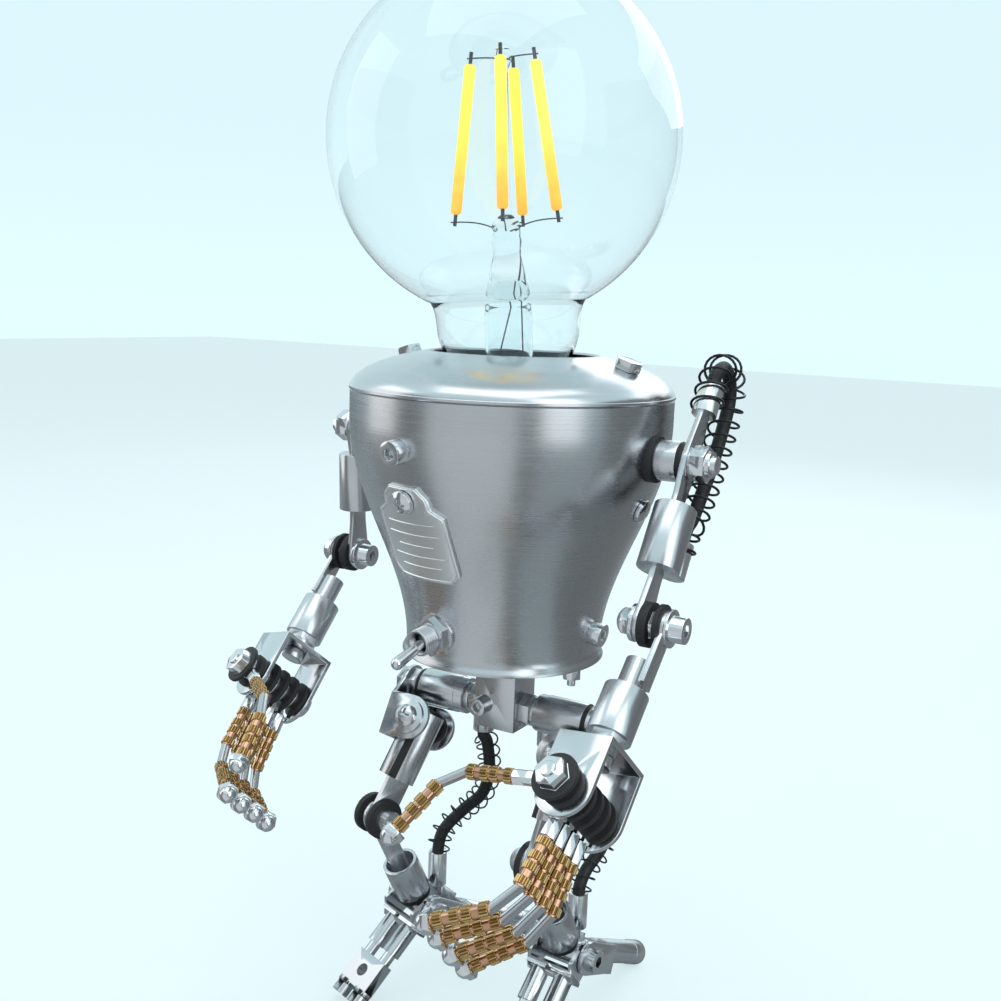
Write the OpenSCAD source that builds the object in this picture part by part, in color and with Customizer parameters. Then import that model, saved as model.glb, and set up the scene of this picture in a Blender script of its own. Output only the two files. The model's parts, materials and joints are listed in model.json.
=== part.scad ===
// Desk lamp in the shape of a little jointed robot.
// Millimetres. Z is up and the figure faces -Y, so its own left is +X.
// Both feet stand on z = 0.

/* [Body] */
// Radius of the body shell at its rim
shell_r = 37.8; // [35:0.1:42]
// Radius of the body shell at its waist
waist_r = 23.3; // [21.5:0.1:26]
// Height of the body shell
shell_h = 62; // [57:0.5:68]
// Sheet thickness of the shell, the dome and the dish
wall = 1; // [0.8:0.05:1.3]
// Rise of the dome above the rim
dome_rise = 10.85; // [9:0.05:13]
// Radius of the opening in the dome
dome_open_r = 19.9; // [18.5:0.1:22]
// Depth of the dish that closes the bottom
dish_depth = 5; // [4:0.1:6]

/* [Bulb] */
// Diameter of the glass globe
bulb_d = 80; // [70:0.5:85]
// Height of the globe centre above the rim
bulb_rise = 56.6; // [52:0.1:62]
// Lean of the bulb in its holder in degrees
bulb_lean = 3.45; // [2:0.05:3.8]
// Diameter of the bulb neck
neck_d = 33.4; // [30:0.1:35.5]
// Outside diameter of the lampholder
holder_d = 31.4; // [30.6:0.1:34]

/* [Switch] */
// Length of the toggle lever outside its pivot
lever_len = 11.5; // [9:0.1:14]
// Rest angle of the lever below the bushing axis in degrees
lever_rest = 13; // [8:0.5:14]

/* [Arms] */
// Diameter of the round standoffs in the limbs
standoff_d = 9.3; // [8.6:0.1:9.6]
// Thickness of the flat link plates
link_t = 1.2; // [1:0.05:1.4]
// Left upper arm from shoulder to elbow
left_arm_len = 37.5; // [35:0.1:41]
// Right upper arm from shoulder to elbow
right_arm_len = 33.5; // [32:0.1:37]
// Elbow to the web of the hand bracket
forearm_len = 30.5; // [30:0.1:34]
// Swing of the left upper arm to the front
left_arm_swing = 34; // [26:0.5:42]
// Swing of the right upper arm to the front
right_arm_swing = -2; // [-8:0.5:8]
// Pitch of the left forearm
left_fore_pitch = 47; // [40:0.5:54]
// Pitch of the right forearm
right_fore_pitch = 44.5; // [37:0.5:52]
// Twist of the left hand about its forearm
left_hand_twist = -10; // [-18:0.5:-2]
// Twist of the right hand about its forearm
right_hand_twist = 22; // [14:0.5:30]

/* [Hands] */
// Width of the hand bracket
hand_w = 12; // [11:0.1:13]
// Hand web to the finger bolt
hand_drop = 10.5; // [10:0.1:12.5]
// Across flats of the finger rods
rod_af = 2.8; // [2.6:0.02:2.84]
// Finger bolt to the end of its hex rod
rod_len = 9.4; // [8.5:0.1:12]
// Length of the inner group of inserts
insert_a = 10.2; // [9:0.1:12]
// Length of the flex spring
flex_len = 6.4; // [5.6:0.1:9]
// Length of the outer group of inserts
insert_b = 11.6; // [10:0.1:13.5]
// Diameter of the insert flanges
flange_d = 3.1; // [2.8:0.05:3.2]

/* [Legs] */
// Height of the ankle bolts
ankle_h = 21; // [19:0.1:23]
// Knee to ankle
shin_len = 30.5; // [29.5:0.1:33]
// Yoke bolt to knee
thigh_len = 25; // [24:0.1:28]
// Hip axle to yoke bolt
yoke_drop = 9.5; // [9.3:0.1:11]
// Hip axle to the bottom edge of the shell
hip_drop = 15; // [14:0.1:17]
// Distance of each leg from the middle
leg_x = 21; // [20:0.1:24]
// Swing of the hips to the front in degrees
hip_pitch = 30; // [25:0.5:34]
// Back pitch of the left shin in degrees
shin_pitch = 27.3; // [22:0.1:32]
// Diameter of the hip axle
axle_d = 4; // [3.6:0.05:4.4]
// Ankle bolt to the middle of the heel cap
heel_len = 41.1; // [38:0.1:45]
// Angle of the toes below level in degrees
toe_angle = 42; // [38:0.5:46]

/* [Tendons] */
// Diameter of the rubber cords
cord_d = 3.1; // [2.8:0.05:3.5]
// Diameter of the wire of the arm spring
arm_wire_d = 0.6; // [0.5:0.02:0.7]
// Outside diameter of the arm spring
arm_coil_d = 7.4; // [7.2:0.05:7.8]
// Diameter of the wire of the leg springs
leg_wire_d = 0.45; // [0.35:0.01:0.55]
// Outside diameter of the leg springs
leg_coil_d = 6.2; // [5.6:0.05:6.8]
// Diameter of the rubber washers on the elbows and hands
rubber_d = 9.4; // [8.8:0.1:9.8]

/* [Hidden] */
$fn = 64;
fit = 0.05;
m3 = 3;
m4 = 4;
origin_x = -0.68;
origin_y = -20.46;
arm_x = shell_r + 7.8;
fore_dx = 2.7;
lug_dx = 2.3;
arm_y = [-1.5, 0.5];
arm_len = [left_arm_len, right_arm_len];
arm_swing = [left_arm_swing, right_arm_swing];
fore_pitch = [left_fore_pitch, right_fore_pitch];
hand_twist = [left_hand_twist, right_hand_twist];
// finger and thumb angles: base and bend, left then right, index finger first
finger_base = [[4, 4, 3, 3], [10, 7, 4, 1]];
finger_bend = [[61, 58, 55, 53], [48, 52, 56, 59]];
thumb_base = [84, 63];
thumb_bend = [-62, -48];
finger_gap = 3.1;
thumb_at = 9.35;
// legs
spread = [-2, 10];
thigh_cos = [for (s = spread) cos(s) * cos(hip_pitch)];
twist = [for (s = spread) atan(sin(s) / tan(hip_pitch))];
yoke_z = ankle_h + shin_len * cos(shin_pitch) + thigh_len * thigh_cos[0];
hip_y = 2;
hip_z = yoke_z + yoke_drop * cos(hip_pitch);
shell_z = hip_z + hip_drop;
rim_z = shell_z + shell_h;
shoulder_z = rim_z - 12;
bulb_z = rim_z + bulb_rise;
cap_mid = rim_z - 9;
rim_h = 6;
flare_h = 2;
flare = 1.1;
dish_r = waist_r + flare - wall;
dish_ball = (dish_r * dish_r + dish_depth * dish_depth) / (2 * dish_depth);
dome_r = shell_r + 0.2;
bulb_az = 30;

function rot_x(a, v) = [v.x, v.y * cos(a) - v.z * sin(a), v.y * sin(a) + v.z * cos(a)];
function rot_y(a, v) = [v.x * cos(a) + v.z * sin(a), v.y, v.z * cos(a) - v.x * sin(a)];
function rot_z(a, v) = [v.x * cos(a) - v.y * sin(a), v.x * sin(a) + v.y * cos(a), v.z];
thigh_dir = [for (s = spread) rot_x(-hip_pitch, rot_y(-s, [0, 0, -1]))];
yoke_at = [leg_x, hip_y, hip_z] + rot_x(-hip_pitch, [0, 0, -yoke_drop]);
knee_at = [for (k = [0, 1]) yoke_at + thigh_dir[k] * thigh_len];
leg_yaw = [for (k = [0, 1]) let (v = rot_x(-hip_pitch, rot_y(-spread[k], rot_z(twist[k], [1, 0, 0]))))
  atan2(v.y, v.x)];
shin_tilt = [for (k = [0, 1]) acos((knee_at[k].z - ankle_h) / shin_len)];
ankle_at = [for (k = [0, 1]) knee_at[k]
  + rot_z(leg_yaw[k], rot_x(shin_tilt[k], [0, 0, -1])) * shin_len];
// lower tendon ferrules stand this far behind the ankles
tie_back = 5.8;
tie_foot = 3.5;
tie_top = 12.5;
ferrule_r = 2.8;
// curls of the springs round the tendons, left then right for the legs
arm_curls = 19;
leg_curls = [16, 13];
arm_coil_r = (arm_coil_d - arm_wire_d) / 2;
leg_coil_r = (leg_coil_d - leg_wire_d) / 2;
tie_at = [for (k = [0, 1]) ankle_at[k] + rot_z(leg_yaw[k], [0, tie_back, tie_top])];

// body wall radius at a height
function drop(z) = rim_z - z;
function wall_r(z) = let (d = drop(z), n = shell_h - flare_h - rim_h)
  d < rim_h ? shell_r
  : d < shell_h - flare_h
  ? waist_r + (shell_r - waist_r) * (1 + cos(180 * (d - rim_h) / n)) / 2
  : waist_r + flare * (d - shell_h + flare_h) / flare_h;
function wall_tilt(z) = atan((wall_r(z + 0.5) - wall_r(z - 0.5)));
steps = 20;
shell_zs = concat([shell_z], [for (i = [0:steps])
  shell_z + flare_h + (shell_h - flare_h - rim_h) * i / steps], [rim_z]);
function shell_pts(off) = [for (z = shell_zs) [wall_r(z) - off, z]];
dome_rs = [for (i = [0:12]) dome_open_r + (dome_r - dome_open_r) * sin(90 * i / 12)];
function dome_z(r, off) = rim_z + (dome_rise - off)
  * sqrt(max(0, 1 - (r * r) / ((dome_r - off) * (dome_r - off))));

steel = [0.72, 0.73, 0.75];
bright = [0.85, 0.86, 0.88];
brass = [0.78, 0.6, 0.35];
black = [0.06, 0.06, 0.07];
white = [0.9, 0.9, 0.88];

// ---------- shared forms ----------

module rod_x(x0, x1, r) {
  translate([x0, 0, 0]) rotate([0, 90, 0]) cylinder(h = x1 - x0, r = r);
}

module rod_y(y0, y1, r) {
  translate([0, y0, 0]) rotate([-90, 0, 0]) cylinder(h = y1 - y0, r = r);
}

module hex_x(x0, x1, af) {
  translate([x0, 0, 0]) rotate([0, 90, 0]) cylinder(h = x1 - x0, r = af / sqrt(3), $fn = 6);
}

module hex_y(y0, y1, af) {
  translate([0, y0, 0]) rotate([-90, 0, 0]) cylinder(h = y1 - y0, r = af / sqrt(3), $fn = 6);
}

module ring_x(x0, x1, r, bore) {
  difference() {
    rod_x(x0, x1, r);
    rod_x(x0 - 1, x1 + 1, bore);
  }
}

module ring_y(y0, y1, r, bore) {
  difference() {
    rod_y(y0, y1, r);
    rod_y(y0 - 1, y1 + 1, bore);
  }
}

module nut_x(x0, x1, af, bore) {
  difference() {
    hex_x(x0, x1, af);
    rod_x(x0 - 1, x1 + 1, bore);
  }
}

module nut_y(y0, y1, af, bore) {
  difference() {
    hex_y(y0, y1, af);
    rod_y(y0 - 1, y1 + 1, bore);
  }
}

// one washer or nut with its own bore, on Z
module ring_z(z0, z1, r, bore) {
  translate([0, 0, z0]) difference() {
    cylinder(h = z1 - z0, r = r);
    translate([0, 0, -1]) cylinder(h = z1 - z0 + 2, r = bore);
  }
}

// socket head with its base at z = 0
module socket_head(r, h, key) {
  difference() {
    cylinder(h = h, r = r);
    translate([0, 0, h * 0.45]) cylinder(h = h, r = key / sqrt(3), $fn = 6);
  }
}

// cross recess pan head with its base at z = 0
module pan_head(r, h) {
  difference() {
    intersection() {
      cylinder(h = h, r = r);
      translate([0, 0, h - 1.6 * r]) sphere(r = 1.6 * r);
    }
    for (a = [0, 90]) rotate([0, 0, a]) translate([-r * 0.55, -0.3, h * 0.45]) cube([r * 1.1, 0.6, h]);
  }
}

// domed nut with its flat face at z = 0
module acorn(af, h) {
  intersection() {
    cylinder(h = h, r = af / sqrt(3), $fn = 6);
    translate([0, 0, h - af * 0.62]) sphere(r = af * 0.62);
  }
  intersection() {
    cylinder(h = h * 0.45, r = af / sqrt(3), $fn = 6);
    translate([0, 0, -1]) cylinder(h = h, r = af * 0.56);
  }
}

// puts +Z of its child along +X or -X at x
module head_at(x, dir) {
  translate([x, 0, 0]) rotate([0, 90 * dir, 0]) children();
}

// flat plate in the YZ plane from x to x + t, given its outline
module plate_x(x, t) {
  translate([x, 0, 0]) rotate([90, 0, 90]) linear_extrude(height = t) children();
}

module side(k) {
  mirror([k, 0, 0]) children();
}

// child +Z points out of the wall at angle az and height z
module on_wall(az, z) {
  rotate([0, 0, az]) translate([wall_r(z), 0, z]) rotate([0, 90 + wall_tilt(z), 0]) children();
}

module shell_solid(off) {
  rotate_extrude() polygon(concat([[0, shell_z]], shell_pts(off), [[0, rim_z]]));
}

// smooth route through chosen points, and its direction
function unit(v) = v / norm(v);
function smooth(p, u) = let (n = len(p) - 1, i = min(n - 1, floor(u)), t = u - i,
  a = p[max(0, i - 1)], b = p[i], c = p[i + 1], d = p[min(n, i + 2)])
  0.5 * ((2 * b) + (c - a) * t + (2 * a - 5 * b + 4 * c - d) * t * t
  + (3 * b - a - 3 * c + d) * t * t * t);
function slope(p, u) = unit(smooth(p, min(len(p) - 1, u + 0.02)) - smooth(p, max(0, u - 0.02)));

module tube(path, dirs, r, sides) {
  n = len(path);
  // side vectors carried along the route without twist
  ups = [for (i = 0, v = unit(cross(dirs[0], abs(dirs[0].x) < 0.8 ? [1, 0, 0] : [0, 1, 0])); i < n;
    i = i + 1, v = i < n ? unit(v - (v * dirs[i]) * dirs[i]) : v) v];
  pts = [for (i = [0:n - 1], j = [0:sides - 1]) let (a = 360 * j / sides)
    path[i] + r * (cos(a) * ups[i] + sin(a) * cross(dirs[i], ups[i]))];
  faces = concat(
    [[for (j = [0:sides - 1]) sides - 1 - j]],
    [for (i = [0:n - 2], j = [0:sides - 1]) let (k = (j + 1) % sides)
      each [[i * sides + j, i * sides + k, (i + 1) * sides + k],
      [i * sides + j, (i + 1) * sides + k, (i + 1) * sides + j]]],
    [[for (j = [0:sides - 1]) (n - 1) * sides + j]]);
  polyhedron(points = pts, faces = [for (f = faces) [for (q = [len(f) - 1:-1:0]) f[q]]]);
}

// route parameter at even steps of length, from u0 to u1
function even(p, n, u0, u1) = let (m = 160,
  us = [for (i = [0:m]) u0 + (u1 - u0) * i / m],
  q = [for (u = us) smooth(p, u)],
  run = [for (i = 0, t = 0; i <= m; i = i + 1, t = i > m ? t : t + norm(q[i] - q[i - 1])) t],
  tab = [for (i = [0:m]) [run[i] / run[m], us[i]]])
  [for (i = [0:n]) lookup(i / n, tab)];

// cord along hand chosen points
module cord(p, n) {
  us = even(p, n, 0, len(p) - 1);
  tube([for (u = us) smooth(p, u)], [for (u = us) slope(p, u)], cord_d / 2, 8);
}

// frame carried along a route for the springs
function carry(p, us) = [for (i = 0, v = unit(cross(slope(p, us[0]), [0.9, 0.1, 0.2])); i < len(us);
  i = i + 1, v = i < len(us) ? unit(v - (v * slope(p, us[i])) * slope(p, us[i])) : v) v];
function coil_pts(p, curls, r) = let (n = curls * 8, us = even(p, n, 0.02, len(p) - 1.02),
  vs = carry(p, us)) [for (i = [0:n]) let (t = slope(p, us[i]), v = vs[i], w = cross(t, v), a = 45 * i)
  smooth(p, us[i]) + r * (cos(a) * v + sin(a) * w)];
module spring(p, curls, r, wire) {
  q = coil_pts(p, curls, r);
  n = len(q) - 1;
  d = [for (i = [0:n]) unit(q[min(n, i + 1)] - q[max(0, i - 1)])];
  tube(q, d, wire / 2, 6);
}
function near_gap(q, wire) = min([for (i = [0:len(q) - 7]) min([for (j = [i + 6:min(len(q) - 1, i + 11)])
  norm(q[i] - q[j])])]) - wire;

// ---------- body ----------

module body_shell() color(steel) {
  difference() {
    rotate_extrude() polygon(concat(shell_pts(0), [for (i = [len(shell_zs) - 1:-1:0]) shell_pts(wall)[i]]));
    for (k = [0, 1]) side(k) {
      translate([0, arm_y[k], shoulder_z]) rod_x(20, 50, 3);
      on_wall(0, rim_z - 24) translate([0, 0, -4]) cylinder(h = 6, r = 1.6);
      on_wall(0, shell_z + 8) translate([0, 0, -4]) cylinder(h = 6, r = 1.6);
    }
    on_wall(-99, rim_z - 11.2) translate([0, 0, -4]) cylinder(h = 6, r = 1.6);
    on_wall(-99, rim_z - 22) translate([0, 0, -4]) cylinder(h = 6, r = 1.6);
    on_wall(-99, shell_z + 8) translate([0, 0, -4]) cylinder(h = 6, r = 3.05);
    on_wall(90, shell_z + 11) translate([0, 0, -4]) cylinder(h = 6, r = 5);
  }
  // ears for the dome bolts, welded inside the rim
  for (k = [0, 1]) side(k) intersection() {
    union() {
      translate([dome_r - 9, 0, dome_z(dome_r - 9, wall)]) rotate([0, 18, 0])
        difference() {
          translate([-5, -4, -1.3]) cube([16, 8, 1.2]);
          translate([0, 0, -3]) cylinder(h = 6, r = 1.6);
        }
      translate([shell_r - wall - 1.2, -4, rim_z - 7]) cube([1.5, 8, 11]);
    }
    union() {
      shell_solid(wall);
      translate([0, 0, rim_z - 1]) rotate_extrude() polygon(concat([[0, 0]],
        [[dome_r - 1.2, 0]], [for (i = [12:-1:0]) [min(dome_rs[i], dome_r - 1.2), dome_z(
        min(dome_rs[i], dome_r - 1.2), wall) - rim_z + 0.9]], [[0, dome_rise - wall]]));
    }
  }
}

module top_dome() color(steel) difference() {
  rotate_extrude() polygon(concat(
    [for (i = [0:12]) [dome_rs[i], dome_z(dome_rs[i], 0)]],
    [for (i = [12:-1:0]) [min(dome_rs[i], dome_r - wall), dome_z(min(dome_rs[i], dome_r - wall), wall)]]));
  for (k = [0, 1]) side(k) dome_bolt_at() translate([0, 0, -3]) cylinder(h = 6, r = 1.6);
}

module dome_bolt_at() {
  translate([dome_r - 9, 0, dome_z(dome_r - 9, 0)]) rotate([0, 18, 0]) children();
}

module bottom_dish() color(steel) difference() {
  rotate_extrude() polygon(concat(
    [for (i = [0:10]) let (r = dish_r * i / 10) [r, dish_z(r)]],
    [[wall_r(shell_z + flare_h) - wall, shell_z + flare_h], [wall_r(shell_z + flare_h) - 2.4 * wall,
    shell_z + flare_h]],
    [for (i = [10:-1:0]) let (r = (dish_r - 2.2) * i / 10) [r, dish_z(r) + wall]]));
  for (x = [-19, 19]) translate([x, 0, shell_z - 6]) cylinder(h = 12, r = 1.1);
  translate([0, hip_y, shell_z - 6]) cylinder(h = 8, r = 2.1);
}

function dish_z(r) = shell_z - dish_depth + dish_ball - sqrt(dish_ball * dish_ball - r * r);

module tag_plate() color(bright) intersection() {
  difference() {
    shell_solid(-0.8);
    shell_solid(0);
  }
  on_wall(-99, rim_z - 22) difference() {
    translate([0, 0, -9]) linear_extrude(height = 20) polygon([
      [-3.4, -4], [-3.4, 4], [-1, 6.2], [1.5, 6.8], [3.4, 9.6], [18, 9.6], [20, 7.4], [20, -7.4],
      [18, -9.6], [3.4, -9.6], [1.5, -6.8], [-1, -6.2]]);
    translate([0, 0, -9]) cylinder(h = 20, r = 1.6);
  }
}

module screw_in_wall(az, z) {
  // head fits the curve of the wall
  difference() {
    on_wall(az, z) translate([0, 0, -0.3]) children();
    shell_solid(0);
  }
  on_wall(az, z) translate([0, 0, -6]) cylinder(h = 6.4, r = 1.5);
  intersection() {
    on_wall(az, z) translate([0, 0, -4.2]) difference() {
      cylinder(h = 4, r = 5.5 / sqrt(3), $fn = 6);
      translate([0, 0, -1]) cylinder(h = 6, r = 1.5);
    }
    shell_solid(wall);
  }
}

module body_screws() color(bright) {
  screw_in_wall(-99, rim_z - 11.2) socket_head(2.75, 3.3, 2.5);
  // the tag lies under this head
  on_wall(-99, rim_z - 22) translate([0, 0, 0.83]) pan_head(2.8, 1.9);
  screw_in_wall(-99, rim_z - 22) cylinder(h = 1.3, r = 1.5);
  for (k = [0, 1]) side(k) {
    on_wall(0, rim_z - 24) pan_head(2.8, 1.9);
    on_wall(0, rim_z - 24) translate([0, 0, -6]) cylinder(h = 6.2, r = 1.5);
    on_wall(0, rim_z - 24) translate([0, 0, -4.8]) difference() {
      cylinder(h = 2.1, r = 5.5 / sqrt(3), $fn = 6);
      translate([0, 0, -1]) cylinder(h = 4, r = 1.5);
    }
    screw_in_wall(0, shell_z + 8) socket_head(2.75, 3.3, 2.5);
    dome_bolt_at() cylinder(h = 2.2, r = 5.5 / sqrt(3), $fn = 6);
    dome_bolt_at() translate([0, 0, -6]) cylinder(h = 6.5, r = 1.5);
    dome_bolt_at() translate([0, 0, -4.8]) difference() {
      cylinder(h = 2.2, r = 5.5 / sqrt(3), $fn = 6);
      translate([0, 0, -1]) cylinder(h = 4, r = 1.5);
    }
  }
  for (x = [-19, 19]) translate([x, 0, dish_z(19)]) {
    translate([0, 0, -4]) cylinder(h = 7, r = 1);
    difference() {
      translate([0, 0, -2.3]) cylinder(h = 2.2, r = 4 / sqrt(3), $fn = 6);
      translate([0, 0, -3]) cylinder(h = 4, r = 1);
    }
    translate([0, 0, wall + 0.35]) cylinder(h = 1.4, r = 1.9);
  }
}

// ---------- switch ----------

module switch_body() color(steel) {
  intersection() {
    on_wall(-99, shell_z + 8) translate([-4, -6.5, -11]) cube([8, 13, 11]);
    shell_solid(wall);
  }
  on_wall(-99, shell_z + 8) difference() {
    translate([0, 0, -3]) cylinder(h = 9.5, r = 3);
    translate([0, 0, 1.2]) cylinder(h = 3.9, r = 2.05);
    translate([0, 0, 5]) cylinder(h = 1.6, r1 = 1.75, r2 = 2.6);
  }
  for (x = [-2.5, 0, 2.5]) on_wall(-99, shell_z + 8) translate([x - 0.4, -1, -14]) cube([0.8, 2, 3.2]);
}

module switch_nut() color(bright) difference() {
  on_wall(-99, shell_z + 8) difference() {
    union() {
      translate([0, 0, -0.8]) cylinder(h = 1.3, r = 4.9);
      translate([0, 0, 0.5]) cylinder(h = 2.2, r = 8 / sqrt(3), $fn = 6);
    }
    translate([0, 0, -1]) cylinder(h = 5, r = 3);
  }
  shell_solid(0);
}

module switch_lever() color(bright) on_wall(-99, shell_z + 8) translate([0, 0, 3.2])
  rotate([0, lever_rest, 0]) {
  sphere(r = 1.8);
  rod_y(-1.3, 1.3, 1.5);
  cylinder(h = lever_len - 1.2, r = 1.15);
  translate([0, 0, 4]) cylinder(h = lever_len - 5.3, r1 = 1.15, r2 = 1.45);
  translate([0, 0, lever_len - 1.3]) sphere(r = 1.45);
}

module cable_grommet() color(black) difference() {
  union() {
    difference() {
      on_wall(90, shell_z + 11) translate([0, 0, -1.2]) cylinder(h = 2.8, r = 6.5);
      shell_solid(0);
    }
    on_wall(90, shell_z + 11) translate([0, 0, -2.5]) cylinder(h = 3.5, r = 5);
    intersection() {
      on_wall(90, shell_z + 11) translate([0, 0, -2.8]) cylinder(h = 3.2, r = 6.5);
      shell_solid(wall);
    }
  }
  on_wall(90, shell_z + 11) translate([0, 0, -5]) cylinder(h = 12, r = 3.75);
}

// ---------- bulb ----------

module leaned() {
  translate([0, 0, cap_mid]) rotate([0, 0, bulb_az]) rotate([0, -bulb_lean, 0]) rotate([0, 0, -bulb_az])
    translate([0, 0, -cap_mid]) children();
}

neck_r = neck_d / 2;
ball_r = bulb_d / 2;
glass = 0.8;
neck_top = bulb_z - sqrt(pow(ball_r, 2) - pow(neck_r + 2.2, 2));
function neck_pts(off) = [
  [neck_r + 2.2 - off, neck_top + 0.6], [neck_r + 0.9 - off, neck_top - 1],
  [neck_r + 0.2 - off, neck_top - 3],
  [neck_r - off, neck_top - 5.5], [neck_r - 0.3 - off, neck_top - 8], [neck_r - 1.2 - off, neck_top - 11],
  [neck_r - 2.6 - off, neck_top - 14], [12.6 - off, rim_z + 2], [12.6 - off, rim_z - 6]];

module bulb_glass() color([0.8, 0.9, 1, 0.25]) leaned() difference() {
  union() {
    translate([0, 0, bulb_z]) sphere(r = ball_r, $fn = 96);
    rotate_extrude() polygon(concat([[0, neck_top + 0.6]], neck_pts(0), [[0, rim_z - 6]]));
  }
  translate([0, 0, bulb_z]) sphere(r = ball_r - glass, $fn = 96);
  rotate_extrude() polygon(concat([[0, neck_top + 1.2]], [[neck_r + 2 - glass, neck_top + 1.2]],
    neck_pts(glass), [[11.8, rim_z - 7], [0, rim_z - 7]]));
}

stem_top = bulb_z + 17.4;
module bulb_stem() color([0.8, 0.9, 1, 0.4]) leaned() {
  rotate_extrude() polygon([[0, rim_z - 5], [11.8, rim_z - 5], [11.8, rim_z - 4], [8, rim_z + 2],
    [6, rim_z + 10], [5, rim_z + 18], [3, rim_z + 23], [1.65, rim_z + 26], [1.65, bulb_z - 20],
    [1.65, stem_top - 1], [0, stem_top - 1]]);
  translate([0, 0, stem_top - 1]) sphere(r = 2.1);
}

module bulb_filaments() color([1, 0.75, 0.2]) leaned() for (a = [15, 105, 195, 285]) rotate([0, 0, a])
  translate([7.5, 0, bulb_z + 14.9]) rotate([0, 180 - 7.65, 0]) cylinder(h = 33.8, r = 0.9);

module bulb_wires() color([0.3, 0.3, 0.32]) leaned() {
  for (a = [15, 105, 195, 285]) rotate([0, 0, a]) {
    // pins of a filament and the wires that carry it
    translate([7.5, 0, bulb_z + 14.9]) rotate([0, -7.65, 0]) cylinder(h = 2.3, r = 0.5);
    translate([7.5, 0, bulb_z + 14.9]) rotate([0, 180 - 7.65, 0]) translate([0, 0, 33.8])
      cylinder(h = 2.3, r = 0.5);
    translate([1.9, 0, bulb_z + 16.9]) rotate([0, 90, 0]) cylinder(h = 5.6, r = 0.35);
    translate([0, 0, bulb_z - 20.6]) rotate([0, 90, 0]) cylinder(h = 12.1, r = 0.35);
  }
  translate([0, 0, bulb_z - 22]) difference() {
    cylinder(h = 2.8, r = 2.6);
    translate([0, 0, -1]) cylinder(h = 5, r = 1.65);
  }
  for (x = [-3.4, 3.4]) translate([x, 0, rim_z + 14]) cylinder(h = bulb_z - 20.6 - rim_z - 14, r = 0.4);
}

module bulb_cap() color(steel) leaned() {
  difference() {
    union() {
      translate([0, 0, rim_z - 15]) cylinder(h = 17, r = 13.25);
      translate([0, 0, rim_z - 19]) cylinder(h = 4, r1 = 8, r2 = 13.25);
      translate([0, 0, rim_z - 21]) cylinder(h = 2, r = 4.5);
    }
    translate([0, 0, rim_z - 14]) cylinder(h = 20, r = 12.6);
  }
}

// ---------- lampholder ----------

holder_r = holder_d / 2;
holder_z = rim_z - 25;
module lampholder() color(black) {
  difference() {
    translate([0, 0, holder_z]) cylinder(h = 30, r = holder_r);
    translate([0, 0, holder_z + 3.75]) cylinder(h = 30, r = 14.35);
    translate([0, 0, holder_z - 1]) cylinder(h = 10, r = 2);
  }
  translate([0, 0, holder_z - 6]) difference() {
    cylinder(h = 6.2, r = holder_r * 0.62);
    translate([0, 0, -1]) cylinder(h = 6, r = 5);
  }
}

bridge_z = rim_z - 34.5;
strap_r = wall_r(rim_z - 24) - wall;
module lampholder_bracket() color(steel) {
  difference() {
    union() {
      intersection() {
        translate([-40, -6, bridge_z]) cube([80, 12, 1.5]);
        shell_solid(wall + 0.6);
      }
      for (k = [0, 1]) side(k) intersection() {
        difference() {
          shell_solid(wall + 0.02);
          shell_solid(wall + 1.5);
        }
        translate([10, -6, bridge_z]) cube([40, 12, 16]);
      }
    }
    for (k = [0, 1]) side(k) on_wall(0, rim_z - 24) translate([0, 0, -8]) cylinder(h = 12, r = 1.6);
    translate([0, 0, bridge_z - 2]) cylinder(h = 5, r = 5.1);
  }
  // threaded nipple with its two nuts
  translate([0, 0, bridge_z - 3.5]) difference() {
    cylinder(h = 9, r = 5);
    translate([0, 0, -1]) cylinder(h = 12, r = 3.8);
  }
  for (z = [bridge_z - 2.3, bridge_z + 1.5]) translate([0, 0, z]) difference() {
    cylinder(h = 2.3, r = 14 / sqrt(3), $fn = 6);
    translate([0, 0, -1]) cylinder(h = 5, r = 5);
  }
}

// ---------- hips ----------

module hip_block() color(steel) translate([0, hip_y, hip_z]) {
  difference() {
    translate([-5.5, -5, -5]) cube([11, 10, hip_drop]);
    rod_x(-8, 8, axle_d / 2);
    translate([0, -hip_y, shell_z - hip_z - dish_depth + dish_ball]) sphere(r = dish_ball, $fn = 128);
  }
  translate([-2.7, 0, 1]) difference() {
    rod_y(-9, -5, 2.2);
    translate([0, -9, 0]) rotate([-90, 0, 0]) translate([0, 0, -1])
      cylinder(h = 2.6, r = 2 / sqrt(3), $fn = 6);
  }
  // screw up through the dish
  translate([0, 0, hip_drop - 8]) cylinder(h = 8, r = 2);
  translate([0, 0, hip_drop - dish_depth + wall + 0.05]) cylinder(h = 2.4, r = 3.4);
}

hub_x = leg_x + 6;
module hip_axle() color(steel) translate([0, hip_y, hip_z]) {
  rod_x(-hub_x - 4.2, hub_x + 4.2, axle_d / 2);
  for (k = [0, 1]) side(k) {
    nut_x(5.5, 8.6, 7, axle_d / 2);
    nut_x(hub_x - 2.25, hub_x - fit, 7, axle_d / 2);
    nut_x(hub_x + 1 + fit, hub_x + 3.2, 7, axle_d / 2);
  }
}

module hip_spacers() color(steel) translate([0, hip_y, hip_z]) for (k = [0, 1]) side(k) {
  ring_x(10, 12.4, 4.5, axle_d / 2);
  ring_x(12.4, hub_x - 4.1, standoff_d / 2, axle_d / 2);
  ring_x(hub_x - 4.1, hub_x - 2.9, 4.3, axle_d / 2);
  ring_x(hub_x - 2.9, hub_x - 2.25, 4, axle_d / 2);
}

// ---------- shoulders ----------

module shoulder_at(k) side(k) translate([0, arm_y[k], shoulder_z]) children();
wall_x = wall_r(shoulder_z);

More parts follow.
